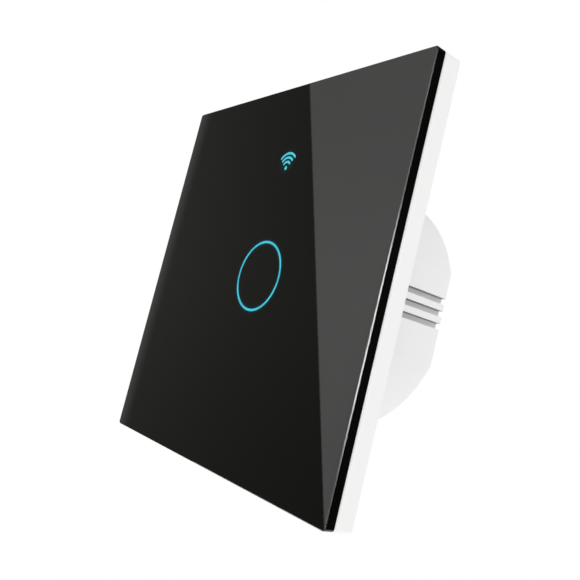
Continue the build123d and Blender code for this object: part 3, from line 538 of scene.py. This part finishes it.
# %% Plastics
frame_white = plastic("frame_white", (0.88, 0.88, 0.875), 0.006, 0.36, 5200.0, 0.002)
plate_white = plastic("plate_white", (0.86, 0.86, 0.85), 0.008, 0.46, 3600.0, 0.004)
terminal_grey = plastic("terminal_grey", (0.045, 0.05, 0.058), 0.05, 0.42, 3800.0, 0.006)
black_moulding = plastic("black_moulding", (0.018, 0.018, 0.019), 0.05, 0.45, 4500.0, 0.005)
black_epoxy = plastic("black_epoxy", (0.014, 0.014, 0.015), 0.08, 0.55, 9000.0, 0.006)
foam = plastic("conductive_foam", (0.02, 0.02, 0.022), 0.2, 0.9, 2600.0, 0.05)
ferrite = plastic("ferrite", (0.022, 0.022, 0.024), 0.25, 0.62, 7000.0, 0.012)
film_yellow = plastic("film_yellow", (0.72, 0.43, 0.03), 0.04, 0.3, 3000.0, 0.004)
varistor_blue = plastic("varistor_blue", (0.012, 0.06, 0.30), 0.12, 0.35, 1800.0, 0.02)
print("plastics:", frame_white.name, "to", varistor_blue.name)

# %% Metals
zinc = metal("zinc_plate", (0.78, 0.79, 0.80), (0.45, 0.40, 0.28), 0.25, 0.24)
brass = metal("brass", (0.80, 0.58, 0.24), (0.30, 0.17, 0.06), 0.30, 0.26)
tinned = metal("tinned_sheet", (0.76, 0.77, 0.78), (0.45, 0.45, 0.45), 0.20, 0.30)
iron = metal("relay_iron", (0.56, 0.56, 0.57), (0.20, 0.18, 0.16), 0.20, 0.34)
bronze = metal("contact_bronze", (0.78, 0.50, 0.28), (0.30, 0.16, 0.08), 0.20, 0.28)
print("metals:", zinc.name, "to", bronze.name)

# %% [markdown]
# ## The housing and its three grooves
#
# The round body is the same white plastic, a little duller than the frame. Three grooves
# run along each of its flats to the rear. Light from all round can't make such narrow
# grooves as dark as a real studio does, where most of the light comes from the front. So
# the material knows where the grooves are, from the object coordinates, and paints shade
# into its colour below the level of the flat: most under the upper lip and at the front
# end, and less towards the open rear end.

# %% Housing finish
flat_level = 26.75
groove_middle = 0.74
groove_pitch = 2.75
groove_front, housing_back = 10.0, 28.0
groove_floor = 25.45
groove_reach = 3.5


def painted_groove_shade(place):
    """One on the open surface, and darker with painted shade inside the grooves of the two flats.
    """
    split = in_millimetres(place)
    beside = apart(split["X"])
    height = math_node("SUBTRACT", split["Z"], groove_middle)
    across = math_node("WRAP", height, groove_pitch / 2, -groove_pitch / 2)
    inside = product(
        below(beside, flat_level - 0.12, flat_level - 0.02),
        ramp(beside, groove_floor - 0.5, groove_floor - 0.4),
        ramp(split["Y"], groove_front - 0.15, groove_front - 0.05),
        below(apart(height), groove_reach, groove_reach + 0.1),
        below(apart(across), 0.69, 0.75),
    )
    # painted shade: darkest under the upper lip and at the front end, lighter towards the open rear
    kept = product(
        ramp(split["Y"], groove_front - 1.0, housing_back, 0.72, 0.91),
        ramp(across, 0.42, 0.68, 1.0, 0.42),
        ramp(across, -0.68, -0.45, 0.86, 1.0),
        ramp(split["Y"], groove_front, groove_front + 0.8, 0.72, 1.0),
    )
    darker = math_node("SUBTRACT", 1.0, kept)
    return math_node("SUBTRACT", 1.0, product(darker, inside))


def build_housing():
    """White moulded plastic with painted shade in its grooves."""
    material, shader, place = new_material("housing_white")
    values = {"Colour": (0.866, 0.865, 0.866, 1), "Clouding": 0.008, "Gloss": 0.46, "Grain": 3600.0}
    skin = use_group(moulded_skin, place, values)
    tint = scaled(skin["Colour"], painted_groove_shade(place))
    coat(shader, skin, depth=0.004, tint=tint)
    return material


housing_white = build_housing()
print("groove depth in mm:", round(flat_level - groove_floor, 2))

# %% [markdown]
# ## Black ink, marks and glass
#
# The plate is clear tempered glass with black ink printed on its back. Two marks are
# left open in the ink and filled with a translucent cyan print: a thin ring over the
# touch key and a small signal symbol. Lamps behind them make them glow. The glass is
# made as real glass, so the marks are seen through 2 mm of it and seem to lie a little
# nearer than they are. It is smoked here and the marks glow stronger to match. Nothing
# but ink lies behind it, so the tint doesn't show, and the renderer spends more of its
# rays on the reflection, which comes out much smoother. The glass is its own mesh here,
# because its back has to dip a hair's breadth into the ink. Where a pane and a print
# share one plane, a ray can't tell which it meets first, and the ink would look like a
# grey mirror.

# %% Ink
ring_low, ring_high = node_box("key_ring_mark")
ring_centre = (ring_low + ring_high) / 2
print_stroke = 0.52
ring_radius = (ring_high.x - ring_low.x - print_stroke) / 2
symbol_low, symbol_high = node_box("symbol_mark")
symbol_middle = (symbol_low + symbol_high) / 2
painted_halo_tint, painted_halo_share = (0.035, 0.62, 0.80), 0.022


def distance_from(place, centre):
    """Distance in millimetres from a point, measured in the plane of the plate."""
    away = vector_node("SUBTRACT", "Vector", place, centre * mm)
    flat = vector_node("MULTIPLY", "Vector", away, (1 / mm, 0, 1 / mm))
    return vector_node("LENGTH", "Value", flat)


def build_ink():
    """Screen-printed black ink, all but black, with a faint painted glow round the lit prints."""
    material, shader, place = new_material("black_ink")
    values = {"Colour": (0.0022, 0.0022, 0.0021, 1), "Clouding": 0.15, "Gloss": 0.7}
    values["Grain"] = 2500.0
    coat(shader, use_group(moulded_skin, place, values))
    from_ring = apart(distance_from(place, ring_centre), ring_radius)
    from_symbol = distance_from(place, symbol_middle)
    # painted glow: the ink itself gives off faint cyan light round the ring and the symbol
    halo = total(
        ramp(from_ring, 0.2, 1.1, painted_halo_share, 0.0),
        ramp(from_symbol, 1.2, 3.6, painted_halo_share, 0.0),
    )
    lit = scaled(painted_halo_tint, halo)
    fill(shader, {"Emission Color": lit, "Emission Strength": 3.0, "Specular IOR Level": 0.0})
    return material


ink = build_ink()
print("ring radius in mm:", round(ring_radius, 2))


# %% Glowing print
def build_glow(name, tint, lamps, strength):
    """A cyan print lit from behind, brighter by its lamps and a little uneven."""
    material, shader, place = new_material(name)
    cloud = noise(place, 260)
    level = spread(cloud, 0.94, 1.05)
    for lamp in lamps:
        near = ramp(distance_from(place, lamp), 0.5, 3.5, 0.16, 0.0)
        level = total(level, near)
    lit = scaled(tint, level)
    fill(shader, {"Emission Color": lit, "Emission Strength": strength})
    paint(shader, scaled(lit, 0.12), spread(cloud, 0.5, 0.7))
    return material


lamp_count, first_lamp_angle = 6, 90
ring_lamps = []
for index in range(lamp_count):
    angle = math.radians(first_lamp_angle + index * 360 / lamp_count)
    ring_lamps.append(ring_centre + ring_radius * Vector((math.cos(angle), 0, math.sin(angle))))
ring_glow = build_glow("ring_glow", (0.047, 0.51, 0.66), ring_lamps, 3.30)
symbol_glow = build_glow("symbol_glow", (0.078, 0.62, 0.73), [], 3.20)
print("glow materials:", ring_glow.name, symbol_glow.name)

# %% Glass
smoke = (0.100, 0.105, 0.104)
plate_corner, corner_segments = 0.7, 12
ground_edge = 0.18
dip_into_ink = 0.02


def build_glass():
    """Polished glass, smoked, with a breath of unevenness in its faint green."""
    material, shader, place = new_material("tempered_glass")
    level = ramp(noise(place, 30), 0.3, 0.8, 1.0, 0.985)
    fill(shader, {"Base Color": scaled(smoke, level), "Roughness": 0.0})
    fill(shader, {"Transmission Weight": 1.0, "IOR": 1.5})
    return material


glass_low, glass_high = node_box("glass_panel")
dipped = Vector((glass_high.x, glass_high.y + dip_into_ink, glass_high.z))
bm = slab(glass_low, dipped, plate_corner, corner_segments)
front = [face for face in bm.faces if face.normal.y < -0.99][0]
bevel(bm, front.edges[:], ground_edge, segments=1)
finish_piece("glass_plate", bm, "front_panel", build_glass(), ["glass_panel"])

# %% [markdown]
# ## Light guides and boards
#
# Behind the ink the light guides are milky, so they scatter the light of the lamps. The
# boards are glass fibre with green solder resist over copper. Two brick textures make the
# copper runs: the mortar between long low bricks looks like tracks. The second one is
# turned by a right angle, and a cell texture chooses between them patch by patch. The
# thin white frames round the parts are printed lines, and they take their places from
# the boxes of the CAD solids.

# %% Milky acrylic
def build_diffuser():
    """Milky acrylic, which lets light wander a little way inside."""
    material, shader, place = new_material("milky_diffuser")
    values = {"Colour": (0.80, 0.86, 0.87, 1), "Clouding": 0.03, "Gloss": 0.5, "Grain": 3000.0}
    coat(shader, use_group(moulded_skin, place, values))
    fill(shader, {"Subsurface Weight": 0.3, "Subsurface Radius": (2 * mm, 2 * mm, 2 * mm)})
    return material


diffuser = build_diffuser()
print("light guides:", diffuser.name)


# %% Copper tracks
def build_traces():
    """Copper under solder resist: runs in one direction or the other, patch by patch, and vias."""
    inputs = [("Vector", vector, None), ("Pitch", number, 1.1)]
    outputs = [("Copper", number), ("Via", number), ("Height", number)]
    tree, given, result = new_group("board_traces", inputs, outputs)
    split = in_millimetres(given["Vector"])
    flat = add("ShaderNodeCombineXYZ", {0: split["X"], 1: split["Z"]}).outputs["Vector"]
    upright = add("ShaderNodeCombineXYZ", {0: split["Z"], 1: split["X"]}).outputs["Vector"]
    runs = []
    for way, length in ((flat, 8.3), (upright, 6.1)):
        sockets = {"Vector": way, "Scale": 1.0, "Mortar Size": 0.14, "Mortar Smooth": 0.2}
        sockets.update({"Brick Width": length, "Row Height": given["Pitch"]})
        brick = add("ShaderNodeTexBrick", sockets, offset=0.37, offset_frequency=3)
        runs.append(brick.outputs["Fac"])
    cells = {"Vector": flat, "Scale": 0.16}
    patch = add("ShaderNodeTexVoronoi", cells, distance="CHEBYCHEV").outputs["Color"]
    patch = add("ShaderNodeSeparateXYZ", {0: patch}).outputs
    copper = either(ramp(patch["X"], 0.495, 0.505), *runs)
    pour = ramp(patch["Y"], 0.70, 0.705)
    copper = math_node("MAXIMUM", copper, pour)
    dots = add("ShaderNodeTexVoronoi", {"Vector": flat, "Scale": 0.42}).outputs["Distance"]
    via = below(dots, 0.10, 0.12)
    height = math_node("MAXIMUM", copper, via)
    fill(result, {"Copper": copper, "Via": via, "Height": height})
    return tree


board_traces = build_traces()
print("group:", board_traces.name)

# %% Board finishes
via_tint, print_white, gilt = (0.55, 0.52, 0.42, 1), (0.74, 0.74, 0.71, 1), (0.78, 0.60, 0.28, 1)
copper_brightness = 2.1
frame_gap = 0.35
module_half_width, pad_pitch, pads_low, pads_high = 7.05, 2.0, -3.0, 12.9


def outside_box(split, low, high):
    """How far a point lies outside a box given by (x, z) corners, and below zero inside."""
    reach = []
    for axis, start, end in zip(("X", "Z"), low, high):
        away = apart(split[axis], (start + end) / 2)
        reach.append(math_node("SUBTRACT", away, (end - start) / 2))
    return folded("MAXIMUM", reach)


def build_board(name, resist, pitch, framed):
    """Solder resist over copper and glass fibre, with printed frames round the parts."""
    material, shader, place = new_material(name)
    split = in_millimetres(place)
    art = use_group(board_traces, place, {"Pitch": pitch})
    cloud = noise(place, 140, 3)
    level = spread(cloud, 0.9, 1.1)
    covered = scaled(Vector(resist) * copper_brightness, level)
    tint = mixed(art["Copper"], scaled(resist, level), covered)
    tint = mixed(art["Via"], tint, via_tint)
    for part in framed:
        low, high = node_box(part)
        low, high = (low.x - frame_gap, low.z - frame_gap), (high.x + frame_gap, high.z + frame_gap)
        line = apart(outside_box(split, low, high))
        tint = mixed(below(line, 0.07, 0.10), tint, print_white)
    paint(shader, tint, spread(cloud, 0.22, 0.34))
    bump(shader, art["Height"], 0.03)
    return material


def build_module():
    """The radio's own small board: dark resist, and a gilt pad at each notch of its sides."""
    material, shader, place = new_material("module_board")
    split = in_millimetres(place)
    raster = math_node("WRAP", split["Z"], pad_pitch / 2, -pad_pitch / 2)
    pads = product(
        ramp(apart(split["X"]), module_half_width, module_half_width + 0.05),
        below(apart(raster), 0.62, 0.66),
        below(split["Z"], pads_high, pads_high + 0.1),
        ramp(split["Z"], pads_low, pads_low + 0.1),
    )
    cloud = noise(place, 300, 3)
    resist = scaled((0.006, 0.018, 0.05), spread(cloud, 0.85, 1.15))
    paint(shader, mixed(pads, resist, gilt), spread(cloud, 0.25, 0.36), pads)
    bump(shader, pads, 0.03)
    return material


on_touch_board = ["radio_module", "touch_controller", "touch_board_parts", "header_socket"]
on_power_board = ["transformer_bobbin", "input_capacitor", "output_capacitor", "film_capacitor"]
on_power_board += ["fuse", "varistor", "bridge_rectifier", "power_controller", "relay_base"]
green, dark_green = (0.010, 0.105, 0.035), (0.012, 0.085, 0.030)
touch_board_finish = build_board("touch_board_finish", green, 0.9, on_touch_board)
power_board_finish = build_board("power_board_finish", dark_green, 1.7, on_power_board)
module_finish = build_module()
print("printed frames:", len(on_touch_board) + len(on_power_board))

# %% [markdown]
# ## Chips and other small parts
#
# A chip is a black moulded package with bright leads and a small round mark at its first
# lead. The bright part is found by height: the leads stand out past the package. The
# smallest ceramic parts have a brown body between two tinned ends. They all lie on one
# raster, so one pattern that folds to and fro along X paints every end.

# %% Chips and ceramic parts
chip_half_height = 1.95
mark_inset = 0.8
lead_tint, mark_tint = (0.78, 0.78, 0.79, 1), (0.045, 0.045, 0.045, 1)
raster_start, raster_half, end_length = 1.0, 1.2, 0.50


def build_chip(name, node):
    """A black moulded package with a small round mark at its first lead, and tinned leads."""
    material, shader, place = new_material(name)
    low, high = node_box(node)
    middle = (low + high) / 2
    split = in_millimetres(place)
    away = apart(split["Z"], middle.z)
    lead = ramp(away, chip_half_height + 0.02, chip_half_height + 0.04)
    corner = Vector((low.x + mark_inset, 0, middle.z - chip_half_height + mark_inset))
    mark = below(distance_from(place, corner), 0.30, 0.36)
    grain = noise(place, 9000)
    black = scaled((0.015, 0.015, 0.016), spread(grain, 0.8, 1.2))
    tint = mixed(lead, mixed(mark, black, mark_tint), lead_tint)
    rough = ramp(lead, 0.0, 1.0, 0.58, 0.28)
    rough = math_node("MULTIPLY_ADD", grain, 0.1, rough)
    paint(shader, tint, rough, lead)
    bump(shader, math_node("MAXIMUM", grain, mark), 0.012)
    return material


def build_chip_parts():
    """Small ceramic parts: a brown body between two tinned ends, all on one raster."""
    material, shader, place = new_material("chip_parts")
    raster = math_node("SUBTRACT", in_millimetres(place)["X"], raster_start)
    raster = math_node("PINGPONG", raster, raster_half)
    ends = ramp(raster, end_length, end_length + 0.02)
    cloud = noise(place, 900)
    brown = scaled((0.36, 0.22, 0.11), spread(cloud, 0.8, 1.15))
    paint(shader, mixed(ends, brown, lead_tint), spread(cloud, 0.28, 0.42), ends)
    return material


chip_parts = build_chip_parts()
chips = ["touch_controller", "power_controller", "bridge_rectifier"]
chip_finish = {node: build_chip(f"{node}_finish", node) for node in chips}
print("chip finishes:", len(chip_finish))

# %% [markdown]
# ## Windings and lamps
#
# Copper wire on a bobbin lies turn by turn, so its material is a wave across the coil's
# axis, in height and in colour, with painted shade between the turns. The transformer is
# closed with yellow tape, which shows its edge once each turn, in lighter painted shade.
# The lamps have a pale case, and the yellow of their phosphor shows in it in soft patches.

# %% Wound and lamp finishes
wave_scale = 0.3142
lamp_yellow, lamp_pale = (0.85, 0.82, 0.55, 1), (0.9, 0.88, 0.8, 1)


def build_wound(name, tint, axis, pitch, depth, is_metal):
    """Turns of wire or tape across an axis, one ridge per pitch in millimetres, with painted shade
    between them.
    """
    material, shader, place = new_material(name)
    sockets = {"Vector": place, "Scale": wave_scale / (pitch * mm)}
    sockets.update({"Distortion": 0.4, "Detail": 1.0})
    waves = add("ShaderNodeTexWave", sockets, bands_direction=axis).outputs["Fac"]
    # painted shade: the colour darkens in the valleys between the turns
    shade = ramp(waves, 0.0, 0.8, 0.45 if is_metal else 0.86, 1.0)
    rough = ramp(waves, 0.0, 1.0, 0.5, 0.25)
    paint(shader, scaled(tint, shade), rough, 1.0 if is_metal else 0.0)
    bump(shader, waves, depth)
    return material


def build_lamp():
    """A lamp's pale case, with soft patches of yellow."""
    material, shader, place = new_material("lamp_case")
    cloud = noise(place, 1800)
    tint = mixed(ramp(cloud, 0.4, 0.6), lamp_yellow, lamp_pale)
    paint(shader, tint, spread(cloud, 0.25, 0.4))
    return material


copper_wire = build_wound("copper_wire", (0.78, 0.36, 0.18), "Y", 0.16, 0.05, True)
yellow_tape = build_wound("yellow_tape", (0.80, 0.58, 0.05), "Z", 2.2, 0.02, False)
lamp_case = build_lamp()
print("wound finishes:", copper_wire.name, yellow_tape.name)

# %% [markdown]
# ## Capacitors and screws
#
# An electrolytic capacitor is an aluminium can in a shrunk dark sleeve. The sleeve turns
# in over the end of the can, and leaves a bright disc with a pressed cross that bursts
# first. A pale stripe down one side marks the negative lead. A screw head that was
# turned on a lathe has fine rings round its middle.

# %% Capacitor and screw finishes
sleeve_tint, stripe_tint = (0.012, 0.014, 0.03), (0.42, 0.43, 0.45, 1)
can_tint = (0.80, 0.80, 0.81, 1)
sleeve_lip, lip_depth = 0.75, 0.6
ring_density = 38.0


def build_capacitor(name, node):
    """A dark sleeve with a pale stripe, and a bare aluminium end with a pressed cross."""
    material, shader, place = new_material(name)
    low, high = node_box(node)
    middle, radius = (low + high) / 2, (high.x - low.x) / 2
    split = in_millimetres(place)
    across = math_node("SUBTRACT", split["X"], middle.x)
    upright = math_node("SUBTRACT", split["Z"], middle.z)
    away = distance_from(place, middle)
    end = product(
        ramp(split["Y"], high.y - lip_depth, high.y - lip_depth + 0.1),
        below(away, radius - sleeve_lip, radius - sleeve_lip + 0.05),
    )
    lines = math_node("MINIMUM", apart(across), apart(upright))
    cross = product(end, below(lines, 0.08, 0.14))
    angle = apart(math_node("ARCTAN2", upright, across))
    stripe = product(below(angle, 0.42, 0.45), ramp(away, radius - 0.7, radius - 0.6))
    cloud = noise(place, 1500)
    level = spread(cloud, 0.9, 1.1)
    tint = mixed(stripe, scaled(sleeve_tint, level), stripe_tint)
    rough = math_node("MULTIPLY_ADD", end, 0.1, math_node("MULTIPLY", level, 0.25))
    paint(shader, mixed(end, tint, can_tint), rough, end)
    bump(shader, math_node("SUBTRACT", cloud, cross), 0.02)
    return material


def build_turned(name, tint, pitch, centre):
    """Zinc-plated steel with fine lathe rings round each screw's middle, on a raster along X."""
    material, shader, place = new_material(name)
    values = {"Colour": tint, "Tarnish Colour": (0.42, 0.36, 0.22, 1), "Tarnish": 0.3}
    values["Gloss"] = 0.24
    skin = use_group(drawn_metal, place, values)
    split = in_millimetres(place)
    across = math_node("WRAP", split["X"], pitch / 2, -pitch / 2)
    upright = math_node("SUBTRACT", split["Z"], centre)
    flat = add("ShaderNodeCombineXYZ", {0: across, 1: upright}).outputs["Vector"]
    away = vector_node("LENGTH", "Value", flat)
    rings = math_node("SINE", math_node("MULTIPLY", away, ring_density))
    shade = math_node("MULTIPLY_ADD", rings, 0.05, 0.95)
    coat(shader, skin, tint=scaled(skin["Colour"], shade), metallic=1.0)
    bump(shader, rings, 0.006)
    return material


cans = ["input_capacitor", "output_capacitor"]
can_finish = {node: build_capacitor(f"{node}_finish", node) for node in cans}
screw_low, screw_high = node_box("terminal_screw_2")
screw_pitch = node_box("terminal_screw_3")[0].x - screw_low.x
screw_z = (screw_low.z + screw_high.z) / 2
turned_zinc = build_turned("turned_zinc", (0.74, 0.75, 0.76, 1), screw_pitch, screw_z)
print("screws every mm:", round(screw_pitch, 2))

# %% [markdown]
# ## The radio's can and its aerial
#
# A pressed can of tinned sheet shields the radio. It is pressed over a block, so its
# edges are round and its lid has a shallow raised panel that stiffens it. It starts from
# one rounded outline, which is extruded and scaled again and again: up the side, round the
# rim in a quarter circle, across the lid, and up a short slope onto the panel. The aerial
# beside it is a gilt track that runs to and fro. It is a row of short bars, each a thin
# slab that overlaps the next one.

# %% Radio can
shield_low, shield_high = node_box("radio_shield")
can_corner, can_rim, rim_steps = 0.8, 0.35, 5
lid_margin, lid_slope, lid_step = 1.4, 0.35, 0.12
can_half = (shield_high - shield_low) / 2
lid_level = shield_high.y - lid_step
can_steps = [(shield_low.y, can_half.x, can_half.z)]
for index in range(rim_steps + 1):
    angle = math.radians(90 * index / rim_steps)
    inwards = can_rim * (1 - math.cos(angle))
    level = lid_level - can_rim * (1 - math.sin(angle))
    can_steps.append((level, can_half.x - inwards, can_half.z - inwards))
for inwards, level in ((lid_margin, lid_level), (lid_margin + lid_slope, shield_high.y)):
    can_steps.append((level, can_half.x - inwards, can_half.z - inwards))
bm = stacked((shield_low + shield_high) / 2, can_steps, can_corner)
finish_piece("radio_can", bm, "front_panel", tinned, ["radio_shield"])

# %% Aerial
module_high = node_box("radio_module")[1]
track_half, track_height, track_sink, run_count = 0.225, 0.04, 0.02, 7
aerial_low, aerial_high = shield_high.z + 1.1, module_high.z - 0.9
aerial_reach, feed_gap = 4.8, 0.2
run_pitch = 2 * aerial_reach / run_count
bars = []
for index in range(run_count + 1):
    x = -aerial_reach + index * run_pitch
    bars.append(((x, aerial_low), (x, aerial_high)))
    if index < run_count:
        z = aerial_high if index % 2 == 0 else aerial_low
        bars.append(((x, z), (x + run_pitch, z)))
bars.append(((-aerial_reach, aerial_low), (-aerial_reach, shield_high.z + feed_gap)))
bm = bmesh.new()
for (x0, z0), (x1, z1) in bars:
    bar_low = (min(x0, x1) - track_half, module_high.y - track_sink, min(z0, z1) - track_half)
    bar_high = (max(x0, x1) + track_half, module_high.y + track_height, max(z0, z1) + track_half)
    join(bm, slab(bar_low, bar_high))
finish_piece("aerial_track", bm, "front_panel", brass)

# %% [markdown]
# ## Clamp screws
#
# The three clamp screws have a flat head with a sawn slot, a chamfered rim and a threaded
# shank. Each is made as a lathe would: an outline of the head and of the ridges is spun
# round the axis. The ridges are rings, because a true helix wouldn't look different at
# this size. The slot isn't cut. The top of the head is spun twice, and each time a plane
# clears away all but one side of the slot.

# %% Clamp screws
head_radius, shank_radius, thread_root, thread_pitch = 2.6, 1.45, 1.2, 0.6
head_chamfer, head_depth, slot_depth, slot_half = 0.3, 1.9, 1.0, 0.4
small_chamfer, neck_length, overlap = 0.2, 0.3, 0.02


def turned(outline, axis, around=32):
    """A bmesh spun round an axis along Y from points (radius, level)."""
    bm = bmesh.new()
    points = [bm.verts.new((axis.x + radius, level, axis.z)) for radius, level in outline]
    edges = [bm.edges.new(pair) for pair in zip(points, points[1:])]
    bmesh.ops.spin(
        bm,
        geom=points + edges,
        cent=(axis.x, 0, axis.z),
        axis=(0, 1, 0),
        angle=math.tau,
        steps=around,
        use_merge=True,
    )
    bmesh.ops.remove_doubles(bm, verts=bm.verts, dist=1e-4)
    return bm


def clamp_screw(low, high):
    """A slotted head and a threaded shank between two corners."""
    axis = (low + high) / 2
    under_head, slot_floor = high.y - head_depth, high.y - slot_depth
    outline = [(0, slot_floor), (head_radius, slot_floor)]
    outline += [(head_radius, under_head + small_chamfer)]
    outline += [(head_radius - small_chamfer, under_head), (thread_root, under_head)]
    level = under_head - neck_length
    while level > low.y + thread_pitch:
        outline += [(thread_root, level), (shank_radius, level - 0.5 * thread_pitch)]
        level -= thread_pitch
    outline += [(thread_root, low.y + small_chamfer)]
    outline += [(thread_root - small_chamfer, low.y), (0, low.y)]
    bm = turned(outline, axis)
    for side in (1, -1):
        rim = [(0, slot_floor - overlap), (head_radius, slot_floor - overlap)]
        rim += [(head_radius, high.y - head_chamfer), (head_radius - head_chamfer, high.y)]
        half = turned(rim + [(0, high.y)], axis)
        bmesh.ops.bisect_plane(
            half,
            geom=half.verts[:] + half.edges[:] + half.faces[:],
            plane_co=(axis.x, 0, axis.z + side * slot_half),
            plane_no=(0, 0, side),
            clear_inner=True,
        )
        bmesh.ops.holes_fill(half, edges=[edge for edge in half.edges if edge.is_boundary])
        join(bm, half)
    return bm


for index in (1, 2, 3):
    node = f"terminal_screw_{index}"
    bm = clamp_screw(*node_box(node))
    finish_piece(f"clamp_screw_{index}", bm, node, turned_zinc, [node])

# %% [markdown]
# ## The rear label
#
# The back of the body has a shallow recess for a label. It is a satin foil with a printed
# border and a plain wiring sketch over the three terminals: two supply lines, and a lamp
# between the middle terminal and one of them. The sketch is drawn by distances in the
# material, in millimetres from the middle of the body.

# %% Rear label
label_half_width, label_half_height, label_z, label_corner = 14.6, 7.6, 6.0, 0.8
label_back, label_sink, label_rise, label_edge = 27.9, 0.01, 0.11, 0.02
border_inset = 1.2
wire_x, wire_top, joint_z = 7.0, 11.4, 10.2
terminal_z, terminal_radius = 1.2, 0.7
lamp_z, lamp_radius = 6.8, 1.6
foil_tint, label_ink = (0.70, 0.71, 0.72), (0.03, 0.03, 0.035, 1)


def printed(distance):
    """A mask for a thin printed line where the distance is nearly zero or below."""
    return below(distance, 0.10, 0.14)


def wiring_sketch(split, place):
    """The lines of the sketch: a border, wires, terminals and a lamp symbol."""
    half_width, half_height = label_half_width - border_inset, label_half_height - border_inset
    low, high = (-half_width, label_z - half_height), (half_width, label_z + half_height)
    lines = [printed(apart(outside_box(split, low, high)))]
    start = terminal_z + terminal_radius
    wires = [((-wire_x, start), (-wire_x, wire_top)), ((wire_x, start), (wire_x, wire_top))]
    wires += [((0, start), (0, lamp_z - lamp_radius)), ((0, lamp_z + lamp_radius), (0, joint_z))]
    wires += [((0, joint_z), (wire_x, joint_z))]
    for wire in wires:
        lines.append(printed(outside_box(split, *wire)))
    circles = [(x, terminal_z, terminal_radius) for x in (-wire_x, 0, wire_x)]
    for x, z, radius in circles + [(0, lamp_z, lamp_radius)]:
        away = distance_from(place, Vector((x, 0, z)))
        lines.append(printed(apart(away, radius)))
    upright, across = apart(split["Z"], lamp_z), apart(split["X"])
    diagonals = printed(apart(math_node("SUBTRACT", across, upright)))
    from_lamp = distance_from(place, Vector((0, 0, lamp_z)))
    inside = below(from_lamp, lamp_radius - 0.05, lamp_radius)
    lines.append(product(diagonals, inside))
    return folded("MAXIMUM", lines)


def build_label():
    """Satin foil with a dark printed border and wiring sketch."""
    material, shader, place = new_material("label_foil")
    lines = wiring_sketch(in_millimetres(place), place)
    cloud = noise(place, 700, 3)
    tint = mixed(lines, scaled(foil_tint, spread(cloud, 0.94, 1.04)), label_ink)
    paint(shader, tint, spread(cloud, 0.40, 0.52), ramp(lines, 0.0, 1.0, 0.3, 0.0))
    bump(shader, cloud, 0.004)
    return material


label_steps = []
for rise, inset in ((-label_sink, 0.0), (label_rise - label_edge, 0.0), (label_rise, label_edge)):
    half_sizes = (label_half_width - inset, label_half_height - inset)
    label_steps.append((label_back + rise, *half_sizes))
bm = stacked(Vector((0, 0, label_z)), label_steps, label_corner)
finish_piece("rear_label", bm, "wall_part", build_label())

# %% [markdown]
# ## Dressing the CAD solids
#
# A solid whose shape is right keeps its own mesh and only gets a finish. This table says
# which finish goes on which solid.

# %% Finish table
finish_of = {
    "ink_film": ink,
    "key_ring_mark": ring_glow,
    "symbol_mark": symbol_glow,
    "panel_frame": frame_white,
    "ring_light_guide": diffuser,
    "symbol_light_guide": diffuser,
    "touch_electrode": foam,
    "indicator_lamps": lamp_case,
    "touch_board": touch_board_finish,
    "radio_module": module_finish,
    "touch_board_parts": chip_parts,
    "header_socket": black_moulding,
    "header_strip": black_moulding,
    "header_pins": brass,
    "base_plate": plate_white,
    "rear_housing": housing_white,
    "housing_screws": zinc,
    "power_board": power_board_finish,
    "terminal_block": terminal_grey,
    "terminal_bars": brass,
    "terminal_cage_1": brass,
    "terminal_cage_2": brass,
    "terminal_cage_3": brass,
    "transformer_core": ferrite,
    "transformer_bobbin": black_moulding,
    "transformer_winding": yellow_tape,
    "film_capacitor": film_yellow,
    "fuse": black_epoxy,
    "varistor": varistor_blue,
    "power_board_parts": chip_parts,
    "relay_base": black_moulding,
    "relay_cover": black_moulding,
    "relay_yoke": iron,
    "relay_bobbin": black_moulding,
    "relay_winding": copper_wire,
    "relay_core": iron,
    "relay_armature": iron,
    "relay_contact_leaf": bronze,
    "relay_fixed_contact": bronze,
    **chip_finish,
    **can_finish,
}
for name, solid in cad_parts.items():
    if name in finish_of:
        solid.data.materials.clear()
        solid.data.materials.append(finish_of[name])
print("dressed solids:", len(finish_of))

# %% [markdown]
# ## The floor
#
# A white disc lies well below the switch, where the photograph's white ground would be.
# Its material is pale with a faint grain, and it is not part of the switch.

# %% Floor
floor_level, floor_radius = -0.40, 0.6


def build_floor_finish():
    """Pale matt studio floor."""
    material, shader, place = new_material("studio_floor")
    level = spread(noise(place, 6), 0.96, 0.98)
    paint(shader, level, 0.9)
    fill(shader, {"Emission Color": level, "Emission Strength": 0.15, "Specular IOR Level": 0.0})
    return material


bm = bmesh.new()
bmesh.ops.create_circle(bm, cap_ends=True, radius=floor_radius, segments=96)
bmesh.ops.translate(bm, vec=(0, 0, floor_level), verts=bm.verts)
floor_mesh = bpy.data.meshes.new("floor")
bm.to_mesh(floor_mesh)
bm.free()
floor_mesh.materials.append(build_floor_finish())
floor = bpy.data.objects.new("floor", floor_mesh)
bpy.context.scene.collection.objects.link(floor)
print("floor at z:", floor_level)
